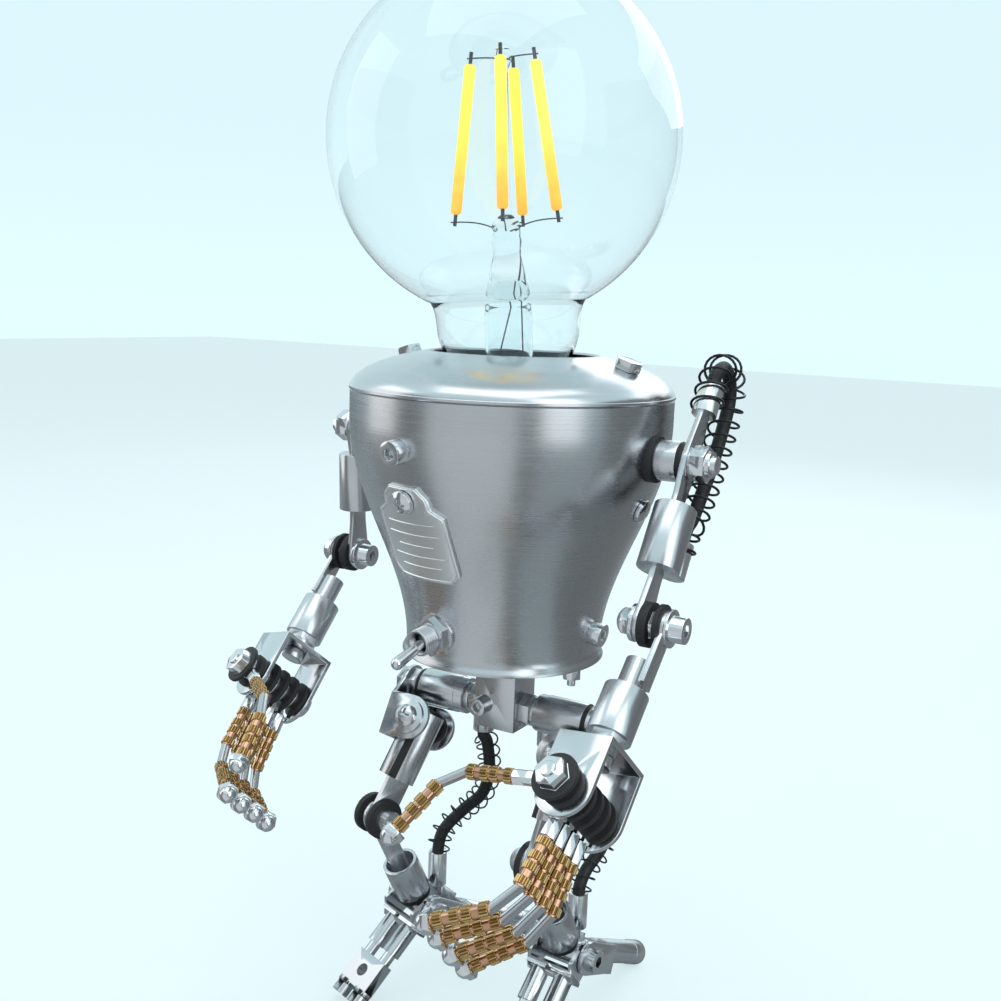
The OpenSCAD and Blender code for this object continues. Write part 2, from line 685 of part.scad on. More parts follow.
module shoulder_bolts() color(steel) for (k = [0, 1]) {
  shoulder_at(k) {
    rod_x(wall_x - 7, arm_x + 6.4, m4 / 2);
    hex_x(wall_x - 7, wall_x - 4.6, 7);
    ring_x(arm_x + 0.65, arm_x + 1.3, 3.5, m4 / 2);
    nut_x(arm_x + 1.3, arm_x + 4.4, 7, m4 / 2);
    ring_x(arm_x + 4.4, arm_x + 5.3, 2.9, m4 / 2);
  }
}

module shoulder_spacers() color(steel) for (k = [0, 1]) shoulder_at(k)
  ring_x(wall_x + 1.2, arm_x - 1.8, 4.5, m4 / 2);

module shoulder_rubbers() color(black) for (k = [0, 1]) {
  shoulder_at(k) ring_x(arm_x - 1.8, arm_x - 0.65, 4.2, m4 / 2);
  difference() {
    shoulder_at(k) ring_x(wall_x - 2, wall_x + 1.2, 5.2, m4 / 2);
    shell_solid(0);
  }
  shoulder_at(k) ring_x(wall_x - 3, wall_x + 0.8, 3, m4 / 2);
  intersection() {
    shoulder_at(k) ring_x(wall_x - 4.6, wall_x + 0.5, 5.2, m4 / 2);
    shell_solid(wall);
  }
}

// ---------- arms ----------

module arm_frame(k) shoulder_at(k) translate([arm_x, 0, 0]) rotate([-arm_swing[k], 0, 0]) children();

horn = 12;
module arm_link(k) color(steel) arm_frame(k) {
  difference() {
    union() {
      plate_x(-link_t / 2, link_t) {
        circle(r = 4);
        translate([0, -arm_len[k]]) circle(r = 3.75);
        polygon([[-4, 0], [4, 0], [2.6, -8], [2.6, -arm_len[k] + 9], [3.75, -arm_len[k]],
          [-3.75, -arm_len[k]], [-2.6, -arm_len[k] + 9], [-2.6, -8]]);
        // horn that carries the tendon on the left arm
        if (k == 0) polygon([[-4, 0], [4, 0], [2.3, horn - 1], [2.3, horn + 0.6], [-2.3, horn + 0.6],
          [-2.3, horn - 1]]);
      }
      translate([0, 0, -arm_len[k] + 12]) cylinder(h = 14.5, r = standoff_d / 2);
    }
    rod_x(-3, 3, m4 / 2 + fit);
    translate([0, 0, -arm_len[k]]) rod_x(-3, 3, m3 / 2 + fit);
  }
  // ferrules that hold both ends of the cord
  if (k == 0) {
    translate([0, 0, horn]) difference() {
      cylinder(h = 7, r = ferrule_r);
      translate([0, 0, 1.5]) cylinder(h = 7, r = cord_d / 2 + 0.02);
    }
    translate([0, 8.5, -arm_len[k] + 14]) difference() {
      cylinder(h = 8, r = ferrule_r);
      translate([0, 0, 1.5]) cylinder(h = 8, r = cord_d / 2 + 0.02);
    }
    translate([-0.6, 4, -arm_len[k] + 14]) cube([1.2, 4.5, 1.4]);
  }
}

// upper arm cord: up out of the horn, over and down behind the arm
low = -left_arm_len + 15.6;
arm_route = [[0, 0, horn + 1.6], [0, 0, horn + 7], [0, 0.5, horn + 11], [0, 3.8, horn + 14.4],
  [0, 8.6, horn + 14], [0, 12, horn + 10], [0, 12.8, horn + 2], [0, 12.4, horn - 8], [0, 10.6, -8],
  [0, 8.8, low + 10], [0, 8.5, low + 4], [0, 8.5, low]];
arm_coil = concat([[0, 0, horn + 1]], [for (i = [1:len(arm_route) - 2]) arm_route[i]]);

module arm_cord() color(black) arm_frame(0) cord(arm_route, 36);
module arm_spring() color(black) arm_frame(0) spring(arm_coil, arm_curls, arm_coil_r, arm_wire_d);

module fore_frame(k) arm_frame(k) translate([fore_dx, 0, -arm_len[k]])
  rotate([arm_swing[k] - fore_pitch[k], 0, 0]) children();

module forearm(k) color(steel) fore_frame(k) {
  difference() {
    union() {
      plate_x(lug_dx, link_t) {
        circle(r = 3.6);
        translate([-2.3, -14]) square([4.6, 14]);
      }
      translate([0, 0, -16.2]) cylinder(h = 7.2, r = 2.6);
      translate([0, 0, 4.2 - forearm_len]) cylinder(h = forearm_len - 20.2, r = standoff_d / 2);
      translate([0, 0, 2.5 - forearm_len]) cylinder(h = 1.7, r = 7 / sqrt(3), $fn = 6);
      translate([0, 0, 1.05 - forearm_len]) cylinder(h = 1.7, r = 3.5);
      translate([0, 0, 1.05 - forearm_len]) cylinder(h = 2.5, r = 2);
    }
    rod_x(0, 6, m3 / 2);
  }
  // screw end and its head inside the hand bracket
  translate([0, 0, -forearm_len - 0.4]) cylinder(h = 3, r = 1.5);
  translate([0, 0, -forearm_len - 2.2]) cylinder(h = 2.15, r = 2.7);
}

// elbow screw with nuts, washers and rubber discs; the head faces +X on both sides
module elbow_bolt(k) color(bright) fore_frame(k) {
  lo = -fore_dx - link_t / 2 - fit;
  hi = -fore_dx + link_t / 2 + fit;
  rod_x(lo - 2, lug_dx + link_t + 1, m3 / 2);
  ring_x(lo - 1, lo, 4, m3 / 2);
  ring_x(hi, hi + 2, rubber_d / 2, m3 / 2);
  nut_x(hi + 2, lug_dx - 1, 5.5, m3 / 2);
  ring_x(lug_dx - 1, lug_dx, rubber_d / 2, m3 / 2);
  ring_x(lug_dx + link_t, lug_dx + link_t + 0.7, 4, m3 / 2);
  if (k == 0) {
    head_at(lug_dx + link_t + 0.7, 1) socket_head(2.75, 3, 2.5);
    head_at(lo - 1, -1) acorn(5.5, 3.6);
  } else {
    head_at(lug_dx + link_t + 0.7, 1) acorn(5.5, 3.6);
    head_at(lo - 1, -1) socket_head(2.75, 3, 2.5);
  }
}

module hand_frame(k) fore_frame(k) translate([0, 0, -forearm_len]) rotate([0, 0, hand_twist[k]]) children();

module hand_bracket(k) color(steel) hand_frame(k) difference() {
  union() {
    translate([-hand_w / 2, -7.3, 0]) cube([hand_w, 14.6, 1]);
    for (m = [0, 1]) mirror([0, m, 0]) {
      translate([-hand_w / 2, 6.3, -hand_drop]) cube([hand_w, 1, hand_drop + 0.5]);
      translate([0, 0, -hand_drop]) rod_y(6.3, 7.3, hand_w / 2);
    }
  }
  translate([0, 0, -1]) cylinder(h = 3, r = 1.5 + fit);
  translate([0, 0, -hand_drop]) rod_y(-9, 9, m3 / 2);
}

disc = finger_gap - 2 - 2 * 0.03;
module finger_bolt(k) color(steel) hand_frame(k) translate([0, 0, -hand_drop]) {
  rod_y(-14, 8, m3 / 2);
  for (i = [-1, 0, 1]) translate([0, i * finger_gap, 0]) ring_y(-disc / 2, disc / 2, rubber_d / 2, m3 / 2);
  ring_y(1.5 * finger_gap + 1.03, 6.3, rubber_d / 2, m3 / 2);
  ring_y(-6.3, -1.5 * finger_gap - 1.03, rubber_d / 2, m3 / 2);
  ring_y(-8.32, -7.3, 4.2, m3 / 2);
  ring_y(-11.2, -10.38, rubber_d / 2, m3 / 2);
  nut_y(-13.4, -11.2, 5.5, m3 / 2);
  translate([0, 7.3, 0]) rotate([-90, 0, 0]) socket_head(2.75, 2.4, 2.5);
}

// one digit hanging from its eyelet: hex rod, inserts, flex spring, inserts, domed tip
module insert_run(len, n) {
  translate([0, 0, -len - 0.1]) cylinder(h = len + 0.2, r = flange_d / 2 - 0.35);
  for (i = [0:n - 1]) for (f = [0.04, 0.62]) translate([0, 0, -len * (i + f + 0.32) / n])
    cylinder(h = len * 0.32 / n, r = flange_d / 2);
}

neck_len = rubber_d / 2 + 0.3;
module digit(bend, fan) {
  sign = bend < 0 ? 1 : 0;
  turn = abs(bend);
  radius = flex_len * 180 / (PI * turn);
  // eye with a flat neck that reaches out between the rubber washers
  difference() {
    union() {
      rod_y(-1, 1, 3);
      translate([-rod_af / 2, -1, -neck_len - 0.4]) cube([rod_af, 2, neck_len - 1.6]);
    }
    rod_y(-3, 3, m3 / 2 + fit);
  }
  translate([0, 0, -neck_len]) rotate([fan, 0, 0]) translate([0, 0, neck_len]) mirror([sign, 0, 0]) {
    translate([0, 0, -rod_len]) cylinder(h = rod_len - neck_len, r = rod_af / sqrt(3), $fn = 6);
    translate([0, 0, -rod_len]) insert_run(insert_a, 2);
    translate([-radius, 0, -rod_len - insert_a]) {
      rotate([-90, 0, 0]) rotate_extrude(angle = turn) translate([radius, 0]) circle(r = 1.1, $fn = 32);
      rotate([0, turn, 0]) translate([radius, 0, 0]) {
        insert_run(insert_b, 2);
        translate([0, 0, -insert_b]) rotate([180, 0, 0]) acorn(4.2, 3.5);
      }
    }
  }
}

module finger(k, i) color(brass) hand_frame(k) translate([0, -(1.5 - i) * finger_gap, -hand_drop])
  rotate([0, finger_base[k][i], 0]) digit(finger_bend[k][i], -4.8 + 3.2 * i);

module thumb(k) color(brass) hand_frame(k) translate([0, -thumb_at, -hand_drop])
  rotate([0, thumb_base[k], 0]) digit(thumb_bend[k], -5);

// ---------- legs ----------

module hip_frame(k) side(k) translate([leg_x, hip_y, hip_z]) rotate([-hip_pitch, 0, 0]) children();

lug_x = 9.3;
module hip_bracket(k) color(bright) {
  hip_frame(k) {
    difference() {
      union() {
        plate_x(6, 1) {
          circle(r = 4.6);
          polygon([[-4.6, 0], [4.6, 0], [7.3, -4.6], [7.3, -yoke_drop - 5.5], [-7.3, -yoke_drop - 5.5],
            [-7.3, -4.6]]);
        }
        for (y = [-7.3, 6.3]) {
          translate([0, y, -yoke_drop - 5.5]) cube([6.5, 1, 11]);
          translate([0, 0, -yoke_drop]) rod_y(y, y + 1, 5.5);
        }
      }
      rod_x(4, 9, axle_d / 2 + fit);
      translate([0, 0, -yoke_drop]) rod_y(-9, 9, m3 / 2);
    }
    // yoke bolt with washers, screw head in front and domed nut behind
    translate([0, 0, -yoke_drop]) {
      rod_y(-8.5, 8.3, m3 / 2);
      ring_y(-8.2, -7.3, 4.3, m3 / 2);
      translate([0, -8.2, 0]) rotate([90, 0, 0]) pan_head(2.8, 1.9);
      translate([0, 7.3, 0]) rotate([-90, 0, 0]) acorn(5.5, 3.6);
      ring_y(-6.3, -standoff_d / 2 - 0.06, 3.8, m3 / 2);
      ring_y(standoff_d / 2 + 0.06, 6.3, 3.8, m3 / 2);
    }
  }
  // eye lug on the axle with the upper ferrule of the tendon
  side(k) translate([lug_x, hip_y, hip_z]) {
    difference() {
      union() {
        rod_x(-0.6, 0.6, 3.6);
        rotate([-45, 0, 0]) translate([-0.6, 0, -1.9]) cube([1.2, 7.6, 3.8]);
      }
      rod_x(-3, 3, axle_d / 2 + fit);
    }
    translate([0, 6, -10.4]) difference() {
      cylinder(h = 5.6, r = 2.7);
      translate([0, 0, -1]) cylinder(h = 5, r = cord_d / 2 + 0.06);
    }
  }
}

module thigh_frame(k) hip_frame(k) translate([0, 0, -yoke_drop]) rotate([0, -spread[k], 0])
  rotate([0, 0, twist[k]]) children();

module thigh(k) color(steel) thigh_frame(k) difference() {
  union() {
    translate([0, 0, -15]) cylinder(h = 18, r = standoff_d / 2);
    plate_x(-0.5 - link_t, link_t) {
      translate([0, -thigh_len]) circle(r = 3.75);
      translate([-3.5, -thigh_len]) square([7, thigh_len - 13]);
    }
  }
  rotate([0, 0, -twist[k]]) rod_y(-9, 9, m3 / 2 + fit);
  translate([0, 0, -thigh_len]) rod_x(-4, 4, m3 / 2);
}

module shin_frame(k) side(k) translate(knee_at[k]) rotate([0, 0, leg_yaw[k]])
  rotate([shin_tilt[k], 0, 0]) children();

// knee bolt stays with the thigh link
module knee_bolt(k) color(bright) thigh_frame(k) translate([0, 0, -thigh_len]) {
  a = 0.5 + link_t;
  rod_x(-a - 1.6, a + 1.6, m3 / 2);
  ring_x(-0.5, 0.5 - fit, 4.2, m3 / 2);
  ring_x(-a - 1.6, -a, 4.9, m3 / 2);
  ring_x(a + fit, a + 1.6, 4.9, m3 / 2);
  head_at(k == 0 ? a + 1.6 : -a - 1.6, k == 0 ? 1 : -1) socket_head(2.75, 3, 2.5);
  head_at(k == 0 ? -a - 1.6 : a + 1.6, k == 0 ? -1 : 1) acorn(5.5, 3.6);
}

module thigh_set(k) {
  thigh(k);
  knee_bolt(k);
}

module shin(k) color(steel) shin_frame(k) {
  difference() {
    union() {
      plate_x(0.5, link_t) {
        circle(r = 3.5);
        translate([-2.25, -23]) square([4.5, 23]);
      }
      // cup that the link stands in
      difference() {
        translate([0, 0, -26]) cylinder(h = 10, r = 4.5);
        translate([0, 0, -22]) cylinder(h = 10, r = 3.7);
      }
      translate([0, 0, -27.6]) cylinder(h = 1.7, r = 4.2);
      translate([0, 0, -shin_len]) cylinder(h = shin_len - 27, r = 2);
      translate([0, 0, -shin_len]) rod_x(-4.5, 4.5, 3);
    }
    rod_x(-3, 3, m3 / 2 + fit);
    translate([0, 0, -shin_len]) rod_x(-6, 6, m3 / 2 + fit);
  }
  // lug and lower ferrule of the tendon
  translate([0, 0, -shin_len]) rotate([-shin_tilt[k], 0, 0]) {
    difference() {
      translate([-0.6, 1, 0]) cube([1.2, tie_back, tie_foot + 1]);
      rod_x(-3, 3, 2.2);
    }
    translate([0, tie_back, tie_foot]) difference() {
      cylinder(h = tie_top - tie_foot, r = 2.4);
      translate([0, 0, 1.5]) cylinder(h = tie_top, r = cord_d / 2 + 0.02);
    }
  }
}

module foot_frame(k) side(k) translate(ankle_at[k]) rotate([0, 0, leg_yaw[k]]) children();

toe_end = (ankle_h - 4.2 - 2.2 * cos(toe_angle)) / sin(toe_angle);
module toe_frame() translate([0, -5, -4.2]) rotate([-(90 - toe_angle), 0, 0]) children();

module foot(k) color(bright) foot_frame(k) {
  difference() {
    union() {
      for (x = [-6.2, 5.2]) plate_x(x, 1) {
        circle(r = 4);
        polygon([[0, 4], [-5.5, 1.6], [-6.5, 1], [-6.5, -3.4], [-3.6, -6], [0, -4]]);
      }
      translate([-6.2, -6.5, -4]) cube([12.4, 1, 3.4]);
      toe_frame() translate([-6.2, -3.2, 0]) cube([12.4, 6.4, 1]);
    }
    rod_x(-9, 9, m3 / 2);
    translate([0, -6, -1.6]) rod_y(-2, 2, 0.8);
  }
  // two rods, toe block, rubber pads and round heads
  toe_frame() {
    for (x = [-3.3, 3.3]) translate([x, 0, 0]) {
      translate([0, 0, -8]) cylinder(h = 8, r = 2.3);
      translate([0, 0, -11.5]) cylinder(h = 4, r = 1.5);
      translate([0, 0, -toe_end + 2.7]) cylinder(h = 1.2, r = 2.4);
      translate([0, 0, -toe_end]) cylinder(h = 2.8, r = 2.2);
    }
    difference() {
      translate([-5.25, -1.6, -toe_end + 3.5]) cube([10.5, 3.2, toe_end - 14.3]);
      translate([0, 0, -15]) rod_y(-4, 4, 1.6);
    }
  }
  // ankle bolt with its end nuts
  rod_x(-9, 9, m3 / 2);
  head_at(7.4, 1) socket_head(2.75, 2.4, 2.5);
  head_at(-7.4, -1) cylinder(h = 2.2, r = 5.5 / sqrt(3), $fn = 6);
}

heel_dip = asin((ankle_h - 3) / heel_len);
module heel(k) color(steel) foot_frame(k) {
  intersection() {
    rotate([-heel_dip, 0, 0]) {
      difference() {
        union() {
          for (x = [-7.4, 6.4]) {
            plate_x(x, 1) {
              circle(r = 4);
              polygon([[0, 4], [10, 3.5], [13.5, 3.5], [13.5, -3.5], [10, -3.5], [0, -4]]);
            }
          }
          translate([-7.4, 13, -3.5]) cube([14.8, 1, 7]);
          rod_y(13.5, heel_len - 3.4, 3);
        }
        rod_x(-9, 9, m3 / 2);
        translate([-2, 12, 2.6]) cube([4, 3, 2]);
      }
      rod_y(heel_len - 3.4, heel_len + 1.6, 3.2);
    }
    translate([-20, -10, -ankle_h]) cube([40, 80, 60]);
  }
  for (x = [-6.4, 6.2]) ring_x(x, x + 0.2, 3, m3 / 2);
}

// ---------- leg tendons ----------

function leg_route(k) = let (a = [lug_x, hip_y + 6, hip_z - 6.6], t = tie_at[k])
  k == 0
  ? [a, a + [0, 0, -4.1], a + [0, 0, -5.3], [12, hip_y + 9.5, hip_z - 14.5], [18.5, hip_y + 15.5, hip_z - 17],
    [23, hip_y + 17.5, hip_z - 22], [23, hip_y + 17, hip_z - 30], [t.x + 1, t.y + 10, t.z + 8],
    [t.x + 0.2, t.y + 3, t.z + 4.2], t, t + [0, 0, -7]]
  : [a, a + [0, 0, -4.1], a + [0, 0, -5.3], [8.6, hip_y + 7, hip_z - 14.5], [8.4, hip_y + 8, hip_z - 22],
    [10.5, hip_y + 8.4, hip_z - 29], [15.5, hip_y + 7.4, hip_z - 34.5], [t.x - 0.2, t.y + 2.2, t.z + 5],
    t, t + [0, 0, -7]];
function leg_coil(k) = let (p = leg_route(k)) [for (i = [2:len(p) - 2]) p[i]];

module leg_cord(k) color(black) side(k) cord(leg_route(k), 30);
module leg_spring(k) color(black) side(k) spring(leg_coil(k), leg_curls[k], leg_coil_r, leg_wire_d);

echo("arm coil gap", near_gap(coil_pts(arm_coil, arm_curls, arm_coil_r), arm_wire_d));
for (k = [0, 1]) echo("leg coil gap", k,
  near_gap(coil_pts(leg_coil(k), leg_curls[k], leg_coil_r), leg_wire_d));

// ---------- the assembly ----------

translate([-origin_x, -origin_y, 0]) {
  body_shell();
  top_dome();
  bottom_dish();
  bulb_glass();
  bulb_stem();
  bulb_filaments();
  bulb_wires();
  bulb_cap();
  lampholder();
  lampholder_bracket();
  tag_plate();
  body_screws();
  switch_body();
  switch_nut();
  switch_lever();
  cable_grommet();
  hip_block();
  hip_axle();
  hip_spacers();
  shoulder_bolts();
  shoulder_spacers();
  shoulder_rubbers();
  arm_link(0);  // left_arm_link
  arm_cord();  // left_arm_cord
  arm_spring();  // left_arm_spring
  forearm(0);  // left_forearm
  elbow_bolt(0);  // left_elbow_bolt
  hand_bracket(0);  // left_hand_bracket
  finger_bolt(0);  // left_finger_bolt
  finger(0, 0);  // left_finger_1
  finger(0, 1);  // left_finger_2
  finger(0, 2);  // left_finger_3
  finger(0, 3);  // left_finger_4
  thumb(0);  // left_thumb
  hip_bracket(0);  // left_hip_bracket
  thigh_set(0);  // left_thigh
  shin(0);  // left_shin
  foot(0);  // left_foot
  heel(0);  // left_heel
  leg_cord(0);  // left_leg_cord
  leg_spring(0);  // left_leg_spring
  arm_link(1);  // right_arm_link
  forearm(1);  // right_forearm
  elbow_bolt(1);  // right_elbow_bolt
  hand_bracket(1);  // right_hand_bracket
  finger_bolt(1);  // right_finger_bolt
  finger(1, 0);  // right_finger_1
  finger(1, 1);  // right_finger_2
  finger(1, 2);  // right_finger_3
  finger(1, 3);  // right_finger_4
  thumb(1);  // right_thumb
  hip_bracket(1);  // right_hip_bracket
  thigh_set(1);  // right_thigh
  shin(1);  // right_shin
  foot(1);  // right_foot
  heel(1);  // right_heel
  leg_cord(1);  // right_leg_cord
  leg_spring(1);  // right_leg_spring
}
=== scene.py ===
import math

import bpy
from mathutils import Matrix, Vector
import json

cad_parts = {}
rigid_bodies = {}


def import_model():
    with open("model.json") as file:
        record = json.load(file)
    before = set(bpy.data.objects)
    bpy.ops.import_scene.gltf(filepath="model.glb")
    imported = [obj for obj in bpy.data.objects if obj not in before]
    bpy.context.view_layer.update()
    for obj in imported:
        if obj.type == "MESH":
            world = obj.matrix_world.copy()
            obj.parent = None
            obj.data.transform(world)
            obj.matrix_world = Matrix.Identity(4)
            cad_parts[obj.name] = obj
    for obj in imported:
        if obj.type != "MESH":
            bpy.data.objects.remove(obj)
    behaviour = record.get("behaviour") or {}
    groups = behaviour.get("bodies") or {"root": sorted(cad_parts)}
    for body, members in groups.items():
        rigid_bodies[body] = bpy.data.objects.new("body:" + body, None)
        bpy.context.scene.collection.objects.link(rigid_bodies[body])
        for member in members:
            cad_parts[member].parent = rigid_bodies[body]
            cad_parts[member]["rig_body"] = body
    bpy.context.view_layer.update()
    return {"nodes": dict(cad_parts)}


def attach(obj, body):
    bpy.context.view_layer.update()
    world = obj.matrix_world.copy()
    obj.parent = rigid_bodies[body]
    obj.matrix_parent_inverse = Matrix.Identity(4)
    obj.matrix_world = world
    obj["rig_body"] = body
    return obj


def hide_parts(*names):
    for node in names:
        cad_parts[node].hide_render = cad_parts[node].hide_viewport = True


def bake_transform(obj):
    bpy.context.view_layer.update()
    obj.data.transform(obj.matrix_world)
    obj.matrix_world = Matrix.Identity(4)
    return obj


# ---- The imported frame, and the floor and light that the lamp is shown in ----
# The lamp stands on a pale sweep under soft white light. Metal needs something to mirror, so
# grey and dark cards stand and lie round it, which only mirror rays can see.
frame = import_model()
nodes = frame["nodes"]
scene = bpy.context.scene
scene.view_settings.view_transform = "Standard"
BODY_X, BODY_Y = 0.68, 20.46  # the middle of the body in the frame, in mm


def lamp_point(x, y, z):
    """A point measured in mm from the middle of the body, turned into the frame's metres."""
    return Vector(((x + BODY_X) / 1000, (y + BODY_Y) / 1000, z / 1000))


def at(x, y, z):
    """A shift in mm."""
    return Matrix.Translation((x / 1000, y / 1000, z / 1000))


def turn_by(degrees, axis):
    return Matrix.Rotation(math.radians(degrees), 4, axis)


camera_data = bpy.data.cameras.new("photo_camera")
camera_data.lens = 42.52
camera_data.sensor_width = 36
camera_data.clip_start = 0.01
camera = bpy.data.objects.new("photo_camera", camera_data)
scene.collection.objects.link(camera)
scene.camera = camera
turn = math.radians(30.378)
dip = math.radians(9.713)
roll = math.radians(2.107)
ahead = Vector((-math.sin(turn), math.cos(turn), 0))
across = Vector((math.cos(turn), math.sin(turn), 0))
look = ahead * math.cos(dip) - Vector((0, 0, math.sin(dip)))
above = Vector((0, 0, math.cos(dip))) + ahead * math.sin(dip)
right = across * math.cos(roll) + above * math.sin(roll)
over = above * math.cos(roll) - across * math.sin(roll)
stand = lamp_point(138.63, -240.12, 176.53)
camera.matrix_world = Matrix((
    (right.x, over.x, -look.x, stand.x),
    (right.y, over.y, -look.y, stand.y),
    (right.z, over.z, -look.z, stand.z),
    (0, 0, 0, 1),
))

bpy.ops.object.select_all(action="DESELECT")
bpy.ops.mesh.primitive_plane_add(size=6, location=(0, 0, -0.0002))
floor = bpy.context.object
floor.name = "floor"
floor_paint = bpy.data.materials.new("pale floor")
floor_paint.use_nodes = True
tree = floor_paint.node_tree
shader = tree.nodes["Principled BSDF"]
shader.inputs["Base Color"].default_value = (0.40, 0.46, 0.48, 1)
shader.inputs["Roughness"].default_value = 0.8
shader.inputs["Specular IOR Level"].default_value = 0.1
shader.inputs["Emission Color"].default_value = (0.80, 0.97, 1.0, 1)
rays = tree.nodes.new("ShaderNodeLightPath")
glow = tree.nodes.new("ShaderNodeMath")
glow.operation = "MAXIMUM"
tree.links.new(rays.outputs["Is Camera Ray"], glow.inputs[0])
tree.links.new(rays.outputs["Is Transmission Ray"], glow.inputs[1])
fade = tree.nodes.new("ShaderNodeMath")
fade.operation = "MULTIPLY_ADD"
fade.inputs[1].default_value = 0.66
fade.inputs[2].default_value = 0.0
tree.links.new(glow.outputs[0], fade.inputs[0])
tree.links.new(fade.outputs[0], shader.inputs["Emission Strength"])
floor.data.materials.append(floor_paint)

world = bpy.data.worlds.new("studio")
scene.world = world
world.use_nodes = True
tree = world.node_tree
sky = tree.nodes["Background"]
rays = tree.nodes.new("ShaderNodeLightPath")
where = tree.nodes.new("ShaderNodeTexCoord")
split = tree.nodes.new("ShaderNodeSeparateXYZ")
tree.links.new(where.outputs["Generated"], split.inputs[0])
height = tree.nodes.new("ShaderNodeValToRGB")
height.color_ramp.elements[0].position = 0.0
height.color_ramp.elements[0].color = (0.45, 0.52, 0.54, 1)
height.color_ramp.elements[1].position = 1.0
height.color_ramp.elements[1].color = (0.62, 0.74, 0.78, 1)
for place, tone in ((0.49, 0.93), (0.56, 0.86), (0.66, 0.84), (0.80, 0.84), (0.92, 0.80)):
    step = height.color_ramp.elements.new(place)
    step.color = (tone * 0.95, tone * 1.22, tone * 1.29, 1)
lift = tree.nodes.new("ShaderNodeMath")
lift.operation = "MULTIPLY_ADD"
lift.inputs[1].default_value = 0.5
lift.inputs[2].default_value = 0.5
tree.links.new(split.outputs["Z"], lift.inputs[0])
tree.links.new(lift.outputs[0], height.inputs[0])
shown = None
for ray in ("Is Camera Ray", "Is Glossy Ray", "Is Transmission Ray"):
    if shown is None:
        shown = rays.outputs[ray]
        continue
    seen = tree.nodes.new("ShaderNodeMath")
    seen.operation = "MAXIMUM"
    tree.links.new(shown, seen.inputs[0])
    tree.links.new(rays.outputs[ray], seen.inputs[1])
    shown = seen.outputs[0]
swap = tree.nodes.new("ShaderNodeMix")
swap.data_type = "RGBA"
tree.links.new(shown, swap.inputs["Factor"])
swap.inputs["A"].default_value = (0.42, 0.45, 0.46, 1)
tree.links.new(height.outputs["Color"], swap.inputs["B"])
tree.links.new(swap.outputs["Result"], sky.inputs["Color"])
sky.inputs["Strength"].default_value = 0.9

for name, place, size, power in (
    ("left_window", (0.75, -0.35, 0.45), (0.5, 1.0), 1.7),
    ("right_window", (-0.85, -0.30, 0.35), (0.5, 1.0), 1.7),
    ("rear_window", (0.1, 0.9, 0.6), (1.2, 0.5), 2.2),
    ("top_panel", (0.0, -0.1, 0.95), (0.8, 0.8), 2.4),
):
    light = bpy.data.lights.new(name, "AREA")
    light.shape = "RECTANGLE"
    light.size, light.size_y = size
    light.energy = power
    holder = bpy.data.objects.new(name, light)
    scene.collection.objects.link(holder)
    holder.location = place
    aim = Vector((0, 0, 0.12)) - Vector(place)
    holder.rotation_euler = aim.to_track_quat("-Z", "Y").to_euler()
    holder.visible_transmission = False

# Each card is a plane that stands a metre away and a wedge on the floor that runs up to it.
CARD_AWAY, CARD_NEAR, CARD_TALL = 1.05, 0.075, 0.75
for name, heading, half, shade in (
    ("card_1", -58, 28, 0.17), ("card_2", -13, 17, 0.55), ("card_3", 20, 16, 0.55),
    ("card_4", 44.5, 8.5, 0.17), ("card_5", 115, 19, 0.15), ("card_6", 154, 20, 0.15),
):
    card_paint = bpy.data.materials.new(name + " paint")
    card_paint.use_nodes = True
    shader = card_paint.node_tree.nodes["Principled BSDF"]
    shader.inputs["Base Color"].default_value = (0, 0, 0, 1)
    shader.inputs["Emission Color"].default_value = (shade, shade * 1.1, shade * 1.14, 1)
    shader.inputs["Emission Strength"].default_value = 1
    for lying in (False, True):
        bpy.ops.object.select_all(action="DESELECT")
        bpy.ops.mesh.primitive_plane_add(size=1)
        card = bpy.context.object
        card.name = name + ("_floor" if lying else "_wall")
        slope = 2 * math.tan(math.radians(half))
        for v in card.data.vertices:
            reach = CARD_NEAR if lying and v.co.y >= 0 else CARD_AWAY
            v.co.x *= slope * reach
            v.co = (v.co.x, -reach, 0.0005 if lying else (v.co.y + 0.5) * CARD_TALL)
        card.data.transform(turn_by(heading, "Z"))
        card.data.materials.append(card_paint)
        card.visible_camera = False
        card.visible_shadow = False
        card.visible_diffuse = False
        card.visible_transmission = False


# ---- Body shell: a spun cup of 1 mm stainless sheet, brushed round its axis ----
# The rim is 75.6 mm across and the waist 46.6 mm, with a small rolled flare at the foot. The
# screws, the switch and the grommet cover its holes.
HIP = 77.9675
FOOT_Z = HIP + 15
RIM_Z = FOOT_Z + 62
RIM_R, WAIST_R, SWELL, FLARE = 37.8, 23.3, 14.5, 1.1
BAND, CURVE = 6, 54  # heights of the straight band at the rim and of the curve under it
SHEET = 1
WELD = 0.000004


def wall_radius(z):
    """The outer radius of the shell at a height, in mm."""
    drop = RIM_Z - z
    if drop < BAND:
        return RIM_R
    if drop < BAND + CURVE:
        return WAIST_R + SWELL * (1 + math.cos(math.pi * (drop - BAND) / CURVE)) / 2
    return WAIST_R + FLARE * (drop - BAND - CURVE) / 2


